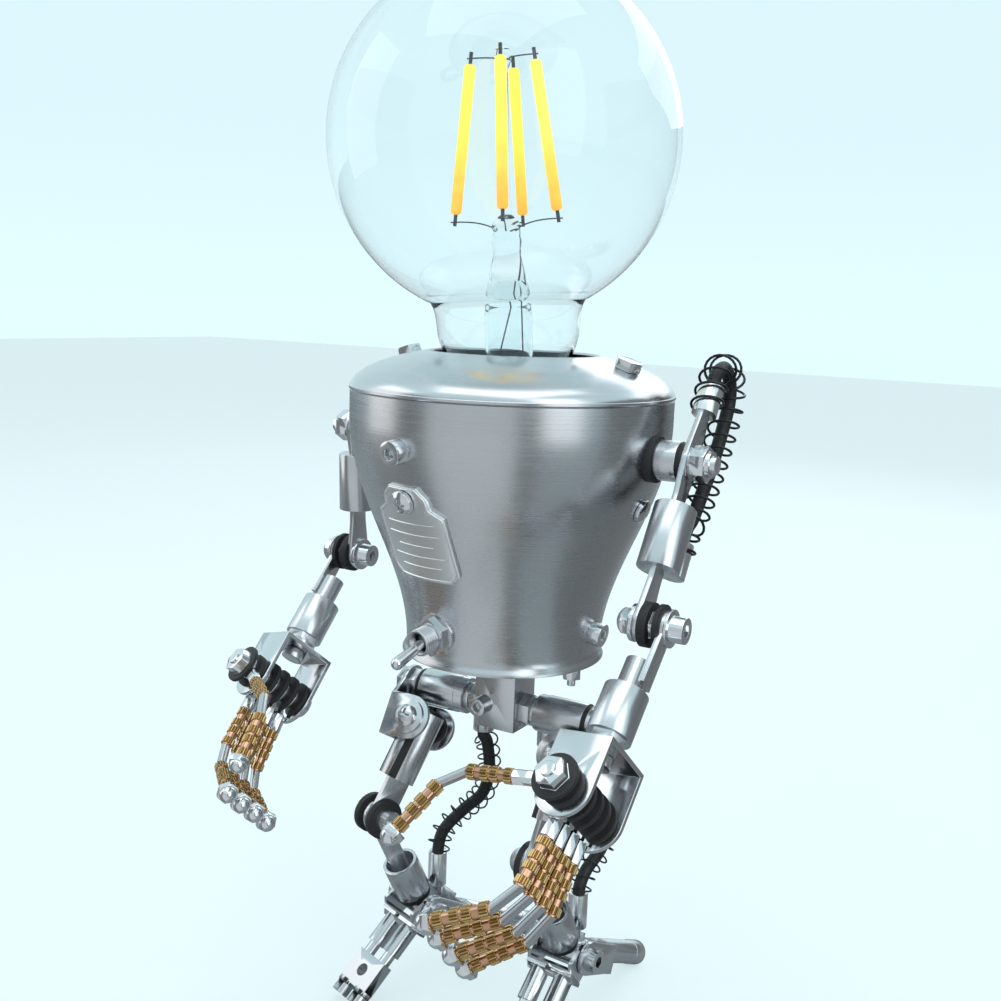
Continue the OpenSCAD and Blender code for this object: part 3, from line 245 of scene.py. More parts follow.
def grain_group():
    """Fine scratches along one direction, and soft blotches: two values round 0.5."""
    group = bpy.data.node_groups.new("brushed grain", "ShaderNodeTree")
    for name, start in (("Across", 60), ("Along", 3000)):
        socket = group.interface.new_socket(name, in_out="INPUT", socket_type="NodeSocketFloat")
        socket.default_value = start
    group.interface.new_socket("Lines", in_out="OUTPUT", socket_type="NodeSocketFloat")
    group.interface.new_socket("Blotch", in_out="OUTPUT", socket_type="NodeSocketFloat")
    enter = group.nodes.new("NodeGroupInput")
    leave = group.nodes.new("NodeGroupOutput")
    where = group.nodes.new("ShaderNodeTexCoord")
    pull = group.nodes.new("ShaderNodeCombineXYZ")
    for axis, name in (("X", "Across"), ("Y", "Across"), ("Z", "Along")):
        group.links.new(enter.outputs[name], pull.inputs[axis])
    spread = group.nodes.new("ShaderNodeVectorMath")
    spread.operation = "MULTIPLY"
    group.links.new(where.outputs["Object"], spread.inputs[0])
    group.links.new(pull.outputs[0], spread.inputs[1])
    lines = group.nodes.new("ShaderNodeTexNoise")
    lines.inputs["Scale"].default_value = 1.0
    lines.inputs["Detail"].default_value = 3.0
    group.links.new(spread.outputs[0], lines.inputs["Vector"])
    group.links.new(lines.outputs["Fac"], leave.inputs["Lines"])
    blotch = group.nodes.new("ShaderNodeTexNoise")
    blotch.inputs["Scale"].default_value = 90.0
    blotch.inputs["Detail"].default_value = 4.0
    group.links.new(where.outputs["Object"], blotch.inputs["Vector"])
    group.links.new(blotch.outputs["Fac"], leave.inputs["Blotch"])
    return group


grain = grain_group()


def metal(name, colour, rough, vary, lines=0.1, bump=0.02, across=60, along=3000):
    """A metal finish: brushed lines and soft blotches change its roughness and its tone."""
    finish = bpy.data.materials.new(name)
    finish.use_nodes = True
    tree = finish.node_tree
    shader = tree.nodes["Principled BSDF"]
    shader.inputs["Metallic"].default_value = 1.0
    marks = tree.nodes.new("ShaderNodeGroup")
    marks.node_tree = grain
    marks.inputs["Across"].default_value = across
    marks.inputs["Along"].default_value = along
    tone = tree.nodes.new("ShaderNodeMix")
    tone.data_type = "RGBA"
    tone.inputs["A"].default_value = (*[c * (1 - lines) for c in colour], 1)
    tone.inputs["B"].default_value = (*[min(1, c * (1 + lines)) for c in colour], 1)
    tree.links.new(marks.outputs["Lines"], tone.inputs["Factor"])
    tree.links.new(tone.outputs["Result"], shader.inputs["Base Color"])
    mixed = tree.nodes.new("ShaderNodeMath")
    mixed.operation = "ADD"
    tree.links.new(marks.outputs["Lines"], mixed.inputs[0])
    tree.links.new(marks.outputs["Blotch"], mixed.inputs[1])
    gloss = tree.nodes.new("ShaderNodeMapRange")
    gloss.inputs["From Min"].default_value = 0.6
    gloss.inputs["From Max"].default_value = 1.4
    gloss.inputs["To Min"].default_value = max(0.02, rough - vary)
    gloss.inputs["To Max"].default_value = rough + vary
    tree.links.new(mixed.outputs[0], gloss.inputs["Value"])
    tree.links.new(gloss.outputs[0], shader.inputs["Roughness"])
    relief = tree.nodes.new("ShaderNodeBump")
    relief.inputs["Strength"].default_value = bump
    relief.inputs["Distance"].default_value = 0.0002
    tree.links.new(marks.outputs["Lines"], relief.inputs["Height"])
    tree.links.new(relief.outputs[0], shader.inputs["Normal"])
    return finish


def turned(name, outline, sides=160):
    """A lathe-turned form on the body's axis: a ring is drawn out and widened point by point."""
    bpy.ops.object.select_all(action="DESELECT")
    middle = lamp_point(0, 0, 0)
    radius, z = outline[0]
    bpy.ops.mesh.primitive_circle_add(
        vertices=sides, radius=radius / 1000, location=(middle.x, middle.y, z / 1000))
    piece = bpy.context.object
    piece.name = name
    bpy.ops.object.mode_set(mode="EDIT")
    bpy.ops.mesh.select_all(action="SELECT")
    for wide, tall in outline[1:]:
        bpy.ops.mesh.extrude_region_move(TRANSFORM_OT_translate={"value": (0, 0, (tall - z) / 1000)})
        factor = wide / radius
        bpy.ops.transform.resize(
            value=(factor, factor, 1), center_override=(middle.x, middle.y, tall / 1000))
        radius, z = wide, tall
    bpy.ops.mesh.select_all(action="SELECT")
    bpy.ops.mesh.remove_doubles(threshold=WELD)
    bpy.ops.mesh.fill_holes(sides=0)
    bpy.ops.mesh.normals_make_consistent(inside=False)
    bpy.ops.object.mode_set(mode="OBJECT")
    bpy.ops.object.transform_apply(location=True, rotation=True, scale=True)
    bpy.ops.object.shade_smooth_by_angle(angle=math.radians(35))
    return piece


steel_shell = metal(
    "brushed shell steel", (0.60, 0.61, 0.63), 0.27, 0.05, lines=0.06, bump=0.03, across=25, along=2600)
heights = [FOOT_Z + 0.3, FOOT_Z + 0.8, FOOT_Z + 1.4, FOOT_Z + 2]
heights += [FOOT_Z + 2 + CURVE * i / 40 for i in range(1, 41)] + [RIM_Z - 0.25]
outer = [(wall_radius(FOOT_Z) - 0.15, FOOT_Z)] + [(wall_radius(h), h) for h in heights] + [(37.55, RIM_Z)]
inner = [(36.85, RIM_Z)] + [(wall_radius(h) - SHEET, h) for h in reversed(heights)]
inner.append((wall_radius(FOOT_Z) - 0.85, FOOT_Z))
shell = turned("body_shell_spun", outer + inner + outer[:1])
shell.data.materials.append(steel_shell)
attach(shell, "torso")
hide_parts("body_shell")

# ---- Dome: a pressed lid with an open neck, its edge sitting on the rim ----
# It is 76 mm across and rises 9 mm to a 39.8 mm opening with a soft lip.
DOME_R, DOME_RISE, MOUTH_R = 38.0, 10.85, 19.9


def dome_z(r, inset):
    """The height of the dome at a radius, on a face that is set in by some mm."""
    return RIM_Z + (DOME_RISE - inset) * math.sqrt(max(0.0, 1 - (r / (DOME_R - inset)) ** 2))


dome_line = []
for i in range(25):
    r = MOUTH_R + (DOME_R - 0.1 - MOUTH_R) * math.sin(math.pi / 2 * i / 24)
    dome_line.append((r, dome_z(r, 0)))
under = [(min(r, 37.0) - 0.02, dome_z(min(r, 36.98), SHEET)) for r, z in reversed(dome_line)]
top_z = dome_line[0][1]
lip = [(MOUTH_R - 0.02, top_z - 0.95), (MOUTH_R - 0.38, top_z - 0.5), (MOUTH_R - 0.3, top_z - 0.1)]
edge = [(38.0, RIM_Z + 0.7), (38.0, RIM_Z + 0.2), (37.85, RIM_Z + 0.02), (37.1, RIM_Z + 0.02)]
dome = turned("dome_lid", dome_line + edge + under + lip + dome_line[:1])
dome.data.materials.append(metal(
    "brushed dome steel", (0.62, 0.63, 0.65), 0.24, 0.05, lines=0.05, bump=0.03, across=30, along=1500))
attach(dome, "torso")
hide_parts("top_dome")

# ---- Dish: the shallow cap that closes the foot of the shell ----
# Pressed from the same sheet, its turned-up edge is caught inside the flare.
DISH_R, DISH_DROP = 23.4, 5
ball = (DISH_R ** 2 + DISH_DROP ** 2) / (2 * DISH_DROP)
dish_z = FOOT_Z - DISH_DROP
dish_line = []
for i in range(17):
    r = 0.4 + 22.6 * i / 16
    dish_line.append((r, dish_z + ball - math.sqrt(ball * ball - r * r)))
dish_in = [(r, z + SHEET) for r, z in reversed(dish_line) if r < 21]
dish_edge = [(23.3, FOOT_Z + 0.5), (22.3, FOOT_Z + 2), (21.4, FOOT_Z + 2)]
dish = turned(
    "dish_cap",
    [(0.05, dish_z)] + dish_line + dish_edge + dish_in + [(0.05, dish_z + SHEET), (0.05, dish_z)], sides=96)
dish.data.materials.append(steel_shell)
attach(dish, "torso")
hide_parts("bottom_dish")

# ---- Bulb: an 80 mm clear globe on its neck, leaning a little in the holder ----
# Blown glass 0.8 mm thick. The stem inside is drawn glass and carries four yellow filament rods
# on fine wires.
LEAN_Z = RIM_Z - 9
GLOBE_Z = RIM_Z + 56.6
GLOBE_R, NECK_R, GLASS = 40, 18.9, 0.8
middle = lamp_point(0, 0, LEAN_Z)
lean = turn_by(30, "Z") @ turn_by(-3.45, "Y") @ turn_by(-30, "Z")
lean = Matrix.Translation(middle) @ lean @ Matrix.Translation(-middle)


def clear_glass(name, tint):
    """Clear glass, faintly uneven."""
    finish = bpy.data.materials.new(name)
    finish.use_nodes = True
    tree = finish.node_tree
    shader = tree.nodes["Principled BSDF"]
    shader.inputs["Transmission Weight"].default_value = 1.0
    shader.inputs["IOR"].default_value = 1.45
    shader.inputs["Roughness"].default_value = 0.0
    where = tree.nodes.new("ShaderNodeTexCoord")
    waves = tree.nodes.new("ShaderNodeTexNoise")
    waves.inputs["Scale"].default_value = 55.0
    waves.inputs["Detail"].default_value = 1.0
    tree.links.new(where.outputs["Object"], waves.inputs["Vector"])
    tone = tree.nodes.new("ShaderNodeMix")
    tone.data_type = "RGBA"
    tone.inputs["A"].default_value = (*tint, 1)
    tone.inputs["B"].default_value = (*[min(1, c * 1.02) for c in tint], 1)
    tree.links.new(waves.outputs["Fac"], tone.inputs["Factor"])
    tree.links.new(tone.outputs["Result"], shader.inputs["Base Color"])
    relief = tree.nodes.new("ShaderNodeBump")
    relief.inputs["Strength"].default_value = 0.02
    relief.inputs["Distance"].default_value = 0.0005
    tree.links.new(waves.outputs["Fac"], relief.inputs["Height"])
    tree.links.new(relief.outputs[0], shader.inputs["Normal"])
    return finish


def lean_over(piece):
    piece.data.transform(lean)
    piece.data.update()


def globe_line(off):
    """The globe and its neck from the top down, set in by some mm."""
    neck = GLOBE_Z - math.sqrt(GLOBE_R ** 2 - NECK_R ** 2)
    angles = [math.pi * (i / 48) * 0.843 + 0.008 for i in range(49)]
    line = [((GLOBE_R - off) * math.sin(a), GLOBE_Z + (GLOBE_R - off) * math.cos(a)) for a in angles]
    for r, z in (
        (17.95, neck - 0.4), (17.35, neck - 1.6), (16.95, neck - 3.2), (16.7, neck - 5.5), (16.45, neck - 8),
        (15.6, neck - 11), (14.4, neck - 14), (13.1, neck - 17), (12.6, RIM_Z + 1.5), (12.6, RIM_Z - 5.5),
    ):
        line.append((r - off, z))
    return line


globe = turned("bulb_globe", globe_line(0) + globe_line(GLASS)[::-1], sides=192)
bpy.ops.object.select_all(action="DESELECT")
lean_over(globe)
globe.data.materials.append(clear_glass("clear bulb glass", (0.96, 0.985, 0.99)))
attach(globe, "torso")
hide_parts("bulb_glass")

# ---- Stem: a thin glass tube up the neck, pinched shut on the wires below the filaments ----
# The flare at its foot is fused to the neck. A thin rod runs on from the pinch to a bead at the top.
stem_line = [(r, RIM_Z + up) for r, up in (
    (0.05, 26), (2.6, 25.4), (4.4, 22), (4.9, 17), (5.0, 4), (6.2, 1), (8.8, -2), (11.2, -4.9),
    (11.75, -4.9), (11.75, -4.3), (9.4, -1.2), (6.8, 1.8), (5.6, 5), (5.5, 18), (5.1, 23), (4.2, 27),
    (3.5, 30), (3.1, 32), (3.5, 34.5), (3.0, 36.5), (3.4, 38), (2.4, 39.6), (1.3, 40.4), (1.1, 50),
    (1.1, 72), (1.7, 73.4), (2.0, 75), (1.7, 76.4), (0.9, 77.1), (0.05, 77.2),
)]
stem = turned("bulb_stem_glass", stem_line, sides=48)
bpy.ops.object.select_all(action="DESELECT")
lean_over(stem)
stem.data.materials.append(clear_glass("stem glass", (0.95, 0.98, 0.99)))
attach(stem, "torso")
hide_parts("bulb_stem")

# ---- Filaments: four yellow phosphor rods that lean out towards the foot ----
# Each is a chip strip in a soft silicone coat between black pins. Fine wires hold the pins to the
# bead and the pinch, and two lead wires run down inside the tube, one of them slack.
phosphor = bpy.data.materials.new("yellow phosphor coat")
phosphor.use_nodes = True
tree = phosphor.node_tree
shader = tree.nodes["Principled BSDF"]
where = tree.nodes.new("ShaderNodeTexCoord")
split = tree.nodes.new("ShaderNodeSeparateXYZ")
tree.links.new(where.outputs["Object"], split.inputs[0])
level = tree.nodes.new("ShaderNodeMapRange")
level.inputs["From Min"].default_value = (RIM_Z + 40) / 1000
level.inputs["From Max"].default_value = (RIM_Z + 66) / 1000
tree.links.new(split.outputs["Z"], level.inputs["Value"])
cloud = tree.nodes.new("ShaderNodeTexNoise")
cloud.inputs["Scale"].default_value = 320
tree.links.new(where.outputs["Object"], cloud.inputs["Vector"])
mixed = tree.nodes.new("ShaderNodeMath")
mixed.operation = "MULTIPLY_ADD"
mixed.inputs[1].default_value = 0.5
tree.links.new(cloud.outputs["Fac"], mixed.inputs[0])
tree.links.new(level.outputs[0], mixed.inputs[2])
tone = tree.nodes.new("ShaderNodeMix")
tone.data_type = "RGBA"
tone.inputs["A"].default_value = (1.0, 0.40, 0.02, 1)
tone.inputs["B"].default_value = (1.0, 0.80, 0.10, 1)
tree.links.new(mixed.outputs[0], tone.inputs["Factor"])
tree.links.new(tone.outputs["Result"], shader.inputs["Base Color"])
tree.links.new(tone.outputs["Result"], shader.inputs["Emission Color"])
# Painted glow: the coat is given a faint glow in its own colour, which makes the rods brighter than the
# lamps alone light them. Its colour runs from orange low down to yellow higher up, with noise.
shader.inputs["Emission Strength"].default_value = 0.55
shader.inputs["Roughness"].default_value = 0.45


def metal_wire(name, colour):
    """Thin drawn wire: a dull metal whose tone wanders a little along it."""
    return metal(name, colour, 0.4, 0.1, across=900, along=900)


def wire_form(name, spots, radius, finish, sides=3, ring=False):
    """A round wire or cord through the spots, made as a curve and turned into a mesh."""
    curve = bpy.data.curves.new(name, "CURVE")
    curve.dimensions = "3D"
    curve.bevel_depth = radius / 1000
    curve.bevel_resolution = sides
    curve.use_fill_caps = True
    line = curve.splines.new("POLY")
    line.use_cyclic_u = ring
    line.points.add(len(spots) - 1)
    for point, spot in zip(line.points, spots):
        point.co = (*spot, 1)
    piece = bpy.data.objects.new(name, curve)
    scene.collection.objects.link(piece)
    bpy.ops.object.select_all(action="DESELECT")
    piece.select_set(True)
    bpy.context.view_layer.objects.active = piece
    bpy.ops.object.convert(target="MESH")
    piece = bpy.context.object
    bpy.ops.object.mode_set(mode="EDIT")
    bpy.ops.mesh.select_all(action="SELECT")
    bpy.ops.mesh.normals_make_consistent(inside=False)
    bpy.ops.object.mode_set(mode="OBJECT")
    bpy.ops.object.shade_smooth_by_angle(angle=math.radians(60))
    piece.data.materials.append(finish)
    return piece


def joined(pieces, name):
    """The pieces as one object, named."""
    bpy.ops.object.select_all(action="DESELECT")
    for piece in pieces:
        piece.select_set(True)
    bpy.context.view_layer.objects.active = pieces[0]
    bpy.ops.object.join()
    whole = bpy.context.object
    whole.name = name
    return whole


PIN_R, ARM_WIRE_R, LEAD_R = 0.42, 0.16, 0.18
dark_wire = metal_wire("dark wire", (0.07, 0.07, 0.08))
strips, wires = [], []
for angle in (17, 101, 197, 297):
    bpy.ops.object.select_all(action="DESELECT")
    bpy.ops.mesh.primitive_cylinder_add(vertices=24, radius=0.00115, depth=0.0332)
    strip = bpy.context.object
    bpy.ops.object.mode_set(mode="EDIT")
    bpy.ops.mesh.select_all(action="SELECT")
    bpy.ops.mesh.bevel(offset=0.0007, segments=4, affect="EDGES")
    bpy.ops.object.mode_set(mode="OBJECT")
    slant = Matrix.Translation(lamp_point(0, 0, GLOBE_Z + 17.2)) @ turn_by(angle, "Z")
    slant = slant @ at(7.5, 0, 0) @ turn_by(180 - 7.65, "Y")
    strip.data.transform(slant @ at(0, 0, 16.6))
    strips.append(strip)
    for ends in ((-0.0026, 0.0006), (0.0326, 0.0358)):
        wires.append(wire_form("pin", [slant @ Vector((0, 0, end)) for end in ends], PIN_R, dark_wire))
    spoke = turn_by(angle, "Z") @ Vector((1, 0, 0)) / 1000
    for reach, start, z, drop in ((8.2, 1.2, GLOBE_Z + 18.4, 0.4), (13.2, 1.6, GLOBE_Z - 17.4, 2.4)):
        bend = []
        for t in [i / 10 for i in range(11)]:
            bend.append(lamp_point(0, 0, z - drop * (1 - t) ** 3) + spoke * (start + (reach - start) * t))
        wires.append(wire_form("arm", bend, ARM_WIRE_R, dark_wire))
aside = Vector((across.x, across.y, 0)) / 1000
slack = []
for t in [i / 24 for i in range(25)]:
    sway = 2.4 - 6.4 * t * t * (3 - 2 * t) + 0.9 * math.sin(math.pi * t)
    slack.append(lamp_point(0, 0, RIM_Z + 36 - 37 * t) + aside * sway)
taut = [lamp_point(0, 0, RIM_Z + 38 - 39 * t) + aside * (3.0 + 0.3 * t) for t in (0, 0.3, 0.7, 1)]
wires += [wire_form("lead", spots, LEAD_R, dark_wire) for spots in (slack, taut)]
for pieces, name, node, slot in (
    (strips, "filament_rods", "bulb_filaments", "yellow_phosphor"),
    (wires, "bulb_wire_set", "bulb_wires", "dark_wire"),
):
    piece = joined(pieces, name)
    lean_over(piece)
    bpy.ops.object.shade_smooth_by_angle(angle=math.radians(50))
    if node == "bulb_filaments":
        piece.data.materials.append(phosphor)
    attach(piece, "torso")
    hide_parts(node)

# ---- Plain steel parts that the CAD shape already gives, with their edges eased ----
# Turned spacers, brackets and screws have a small break on every edge, which catches the light.
def eased(node, finish, width=0.12, angle=32):
    """A copy of a CAD piece with its edges broken by a small bevel, riding where the piece did."""
    bpy.ops.object.select_all(action="DESELECT")
    source = nodes[node]
    piece = bpy.data.objects.new(node + "_eased", source.data.copy())
    scene.collection.objects.link(piece)
    piece.data.materials.clear()
    piece.data.materials.append(finish)
    bpy.context.view_layer.objects.active = piece
    piece.select_set(True)
    bpy.ops.object.mode_set(mode="EDIT")
    bpy.ops.mesh.select_all(action="SELECT")
    bpy.ops.mesh.remove_doubles(threshold=WELD)
    bpy.ops.mesh.dissolve_limited(angle_limit=math.radians(1.0))
    bpy.ops.object.mode_set(mode="OBJECT")
    ease = piece.modifiers.new("edge break", "BEVEL")
    ease.width = width / 1000
    ease.segments = 2
    ease.limit_method = "ANGLE"
    ease.angle_limit = math.radians(angle)
    ease.use_clamp_overlap = True
    bpy.ops.object.modifier_apply(modifier=ease.name)
    bpy.ops.object.shade_smooth_by_angle(angle=math.radians(angle + 4))
    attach(piece, source["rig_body"])
    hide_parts(node)
    return piece


def paint(piece, finish, place, axis, spans, reach, inside=99.0):
    """Gives a finish to faces whose middle lies in a span along one axis of a place, in mm, and
    whose farthest corner from that axis is between reach and inside."""
    piece.data.materials.append(finish)
    number = len(piece.data.materials) - 1
    local = place.inverted()
    spots = [local @ v.co * 1000 for v in piece.data.vertices]
    others = [i for i in range(3) if i != axis]
    for face in piece.data.polygons:
        corners = [spots[i] for i in face.vertices]
        along = sum(c[axis] for c in corners) / len(corners)
        far = max(math.hypot(c[others[0]], c[others[1]]) for c in corners)
        if reach <= far <= inside and any(low <= along <= high for low, high in spans):
            face.material_index = number


satin = metal(
    "satin turned steel", (0.64, 0.65, 0.67), 0.24, 0.03, lines=0.03, bump=0.004, across=3500, along=3500)
bright = metal(
    "polished steel", (0.76, 0.77, 0.79), 0.12, 0.02, lines=0.02, bump=0.002, across=2500, along=2500)
plate = metal(
    "sheet steel", (0.68, 0.69, 0.71), 0.18, 0.03, lines=0.03, bump=0.004, across=2500, along=3000)
silver = metal(
    "white silver plate", (0.88, 0.89, 0.90), 0.2, 0.04, lines=0.03, bump=0.004, across=2000, along=2000)


def rubber_finish(name, colour, rough):
    """Moulded rubber: nearly black, with a dusty bloom that varies over it."""
    finish = bpy.data.materials.new(name)
    finish.use_nodes = True
    tree = finish.node_tree
    shader = tree.nodes["Principled BSDF"]
    marks = tree.nodes.new("ShaderNodeGroup")
    marks.node_tree = grain
    marks.inputs["Across"].default_value = 900
    marks.inputs["Along"].default_value = 900
    tone = tree.nodes.new("ShaderNodeMix")
    tone.data_type = "RGBA"
    tone.inputs["A"].default_value = (*colour, 1)
    tone.inputs["B"].default_value = (*[c * 2.2 + 0.01 for c in colour], 1)
    tree.links.new(marks.outputs["Blotch"], tone.inputs["Factor"])
    tree.links.new(tone.outputs["Result"], shader.inputs["Base Color"])
    gloss = tree.nodes.new("ShaderNodeMapRange")
    gloss.inputs["To Min"].default_value = rough - 0.1
    gloss.inputs["To Max"].default_value = rough + 0.15
    tree.links.new(marks.outputs["Lines"], gloss.inputs["Value"])
    tree.links.new(gloss.outputs[0], shader.inputs["Roughness"])
    relief = tree.nodes.new("ShaderNodeBump")
    relief.inputs["Strength"].default_value = 0.1
    relief.inputs["Distance"].default_value = 0.0001
    tree.links.new(marks.outputs["Lines"], relief.inputs["Height"])
    tree.links.new(relief.outputs[0], shader.inputs["Normal"])
    return finish


tag_metal = metal(
    "stamped tag metal", (0.90, 0.91, 0.92), 0.36, 0.05, lines=0.04, bump=0.01, across=1500, along=1500)
rubber = rubber_finish("black rubber", (0.012, 0.012, 0.013), 0.55)
moulded = rubber_finish("black moulded plastic", (0.02, 0.02, 0.022), 0.45)

FINE_BREAK, EDGE_BREAK = 0.06, 0.12
dressed = {}
for node, finish in (
    ("bulb_cap", satin), ("lampholder", moulded), ("lampholder_bracket", plate),
    ("tag_plate", tag_metal), ("body_screws", bright), ("switch_body", satin), ("switch_nut", bright),
    ("switch_lever", bright), ("cable_grommet", rubber), ("hip_block", satin), ("hip_axle", satin),
    ("hip_spacers", satin), ("shoulder_bolts", bright), ("shoulder_spacers", satin),
    ("shoulder_rubbers", rubber),
):
    dressed[node] = eased(node, finish, FINE_BREAK if node in ("tag_plate", "body_screws") else EDGE_BREAK)

# ---- Tag and switch details: a raised border and plain lines on the tag, threads on the bushing ----
# The stamped tag follows the wall under its screw. Its lines stay blank. The bushing's thread is a
# ridge wound along it, outside the nut.
FRONT = -99  # heading of the tag and the switch
TAG_Z, TAG_THICK, SWITCH_Z = RIM_Z - 22, 0.8, FOOT_Z + 8
BORDER_R, LINE_R, RIDGE_R = 0.22, 0.17, 0.19
BUSHING_R, THREAD_START, THREAD_LONG, THREAD_STEPS = 0.00297, 2.9, 3.3, 132


def on_wall(azimuth, z):
    """A frame on the shell: its Z leaves the wall, its X runs down it."""
    lean_in = math.degrees(math.atan(wall_radius(z + 0.5) - wall_radius(z - 0.5)))
    middle = Matrix.Translation(lamp_point(0, 0, 0)) @ turn_by(azimuth, "Z")
    return middle @ at(wall_radius(z), 0, z) @ turn_by(90 + lean_in, "Y")


def on_tag(x, y):
    """The point of the tag's face that lies over a place of its flat outline, in mm."""
    base = on_wall(FRONT, TAG_Z)
    low, high = -0.006, 0.006
    for _ in range(20):
        mid = (low + high) / 2
        spot = base @ Vector((x / 1000, y / 1000, mid)) - lamp_point(0, 0, 0)
        if math.hypot(spot.x, spot.y) * 1000 > wall_radius(spot.z * 1000) + TAG_THICK:
            high = mid
        else:
            low = mid
    return base @ Vector((x / 1000, y / 1000, mid))


half = [
    (-3.0, 0), (-3.0, 3.6), (-0.9, 5.6), (1.8, 6.2), (3.7, 9.0), (10, 9.0), (17.8, 9.0),
    (19.4, 7.2), (19.4, 0),
]
border = half + [(x, -y) for x, y in half[-2:0:-1]]
rim_line = []
for i, (x, y) in enumerate(border):
    x2, y2 = border[(i + 1) % len(border)]
    rim_line += [on_tag(x + (x2 - x) * t / 6, y + (y2 - y) * t / 6) for t in range(6)]
stamped = [wire_form("tag_border", rim_line, BORDER_R, tag_metal, 2, True)]
for x, reach in ((5.4, 6.6), (8.2, 7.2), (11.0, 5.0), (13.8, 7.2), (16.4, 5.6)):
    line = [on_tag(x, reach * t / 6) for t in range(-6, 7)]
    stamped.append(wire_form("tag_line", line, LINE_R, tag_metal, 2))
bushing = on_wall(FRONT, SWITCH_Z)
thread = []
for i in range(THREAD_STEPS + 1):
    a = i * math.pi / 12
    rise = (THREAD_START + THREAD_LONG * i / THREAD_STEPS) / 1000
    thread.append(bushing @ Vector((BUSHING_R * math.cos(a), BUSHING_R * math.sin(a), rise)))
ridge = wire_form("bushing_thread", thread, RIDGE_R, bright, 2)
for extra, node in ((stamped, "tag_plate"), ([ridge], "switch_body")):
    for part in extra:
        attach(part, "torso")
        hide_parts(node)

# ---- Limbs: turned standoffs, flat links, brackets and their screws ----
# Each joint is clamped by a screw between black rubber washers. The frames below follow the same
# angles as the joints: swing of the arm, pitch of the forearm, twist of the hand and so on.
SHOULDER_X, SHOULDER_DROP = 45.6, 12
FOREARM, GRIP = 30.5, 10.5  # elbow to wrist, and wrist to the fingers' bolt
YOKE, KNEE, SHIN, ANKLE_Z = 9.5, 25, 30.5, 21  # axle to yoke bolt, yoke bolt to knee, knee to ankle
LEG_BACK = 30
limbs = {}
for side, mirror, arm_y, arm, swing, pitch, twist, spread in (
    ("left", 1, -1.5, 37.5, 34, 47, -10, -2),
    ("right", -1, 0.5, 33.5, -2, 44.5, 22, 10),
):
    outer = Matrix.Translation(lamp_point(0, 0, 0)) @ Matrix.Diagonal((mirror, 1, 1, 1))

    shoulder = outer @ at(SHOULDER_X, arm_y, RIM_Z - SHOULDER_DROP) @ turn_by(-swing, "X")
    fore = shoulder @ at(2.7, 0, -arm) @ turn_by(swing - pitch, "X")
    hand = fore @ at(0, 0, -FOREARM) @ turn_by(twist, "Z")
    axle = outer @ at(21, 2, HIP)
    hip = axle @ turn_by(-LEG_BACK, "X")
    twist_in = math.degrees(math.atan(math.sin(math.radians(spread)) / math.tan(math.radians(LEG_BACK))))
    thigh = hip @ at(0, 0, -YOKE) @ turn_by(-spread, "Y") @ turn_by(twist_in, "Z")
    flat = outer.inverted() @ thigh
    knee = flat @ Vector((0, 0, -KNEE / 1000))
    yaw = math.degrees(math.atan2(flat[1][0], flat[0][0]))
    tilt = math.degrees(math.acos((knee.z * 1000 - ANKLE_Z) / SHIN))
    shin = outer @ Matrix.Translation(knee) @ turn_by(yaw, "Z") @ turn_by(tilt, "X")
    foot = shin @ at(0, 0, -SHIN) @ turn_by(-tilt, "X")
    toe = foot @ at(0, -5, -4.2) @ turn_by(-48, "X")
    limbs[side] = {
        "outer": outer, "shoulder": shoulder, "hand": hand, "hip": hip, "thigh": thigh, "foot": foot,
    }
    for node, finish in (
        ("arm_link", satin), ("forearm", satin), ("elbow_bolt", bright), ("hand_bracket", plate),
        ("finger_bolt", bright), ("hip_bracket", plate), ("thigh", satin), ("shin", satin),
        ("foot", satin), ("heel", satin),
    ):
        piece = eased(side + "_" + node, finish)
        dressed[side + "_" + node] = piece
    # Washers and ferrules belong to the bolt or link that holds them, so they are painted by place.
    for node, finish, place, axis, spans, reach, inside in (
        ("elbow_bolt", rubber, fore, 0, ((-2.1, -0.02), (1.25, 2.32)), 3.4, 99.0),
        ("finger_bolt", rubber, hand @ at(0, 0, -GRIP), 1,
         ((-6.4, 6.4), (-8.4, -7.25), (-11.25, -10.35)), 3.6, 99.0),
        ("hip_bracket", rubber, hip @ at(0, 0, -YOKE), 1, ((-6.28, -4.6), (4.6, 6.28)), 2.5, 4.0),
        ("thigh", rubber, thigh @ at(0, 0, -KNEE), 0, ((-3.4, -1.75), (1.7, 3.4)), 4.5, 99.0),
        ("shin", rubber, shin, 2, ((-27.6, -26.02),), 3.9, 4.4),
        ("foot", rubber, toe, 2, ((-20.0, -19.2), (-18.8, -18.7)), 2.0, 7.0),
        ("shin", silver, foot @ at(0, 5.8, 0), 2, ((3.4, 12.6),), 1.8, 2.6),
    ):
        paint(dressed[side + "_" + node], finish, place, axis, spans, reach, inside)
    paint(dressed["hip_spacers"], rubber, axle, 0, ((1.9, 3.05),), 3.8)
    if side == "left":
        for place, span in ((shoulder, (11.9, 19.1)), (shoulder @ at(0, 8.5, 0), (-23.6, -15.4))):
            paint(dressed["left_arm_link"], silver, place, 2, (span,), 1.9, 3.0)

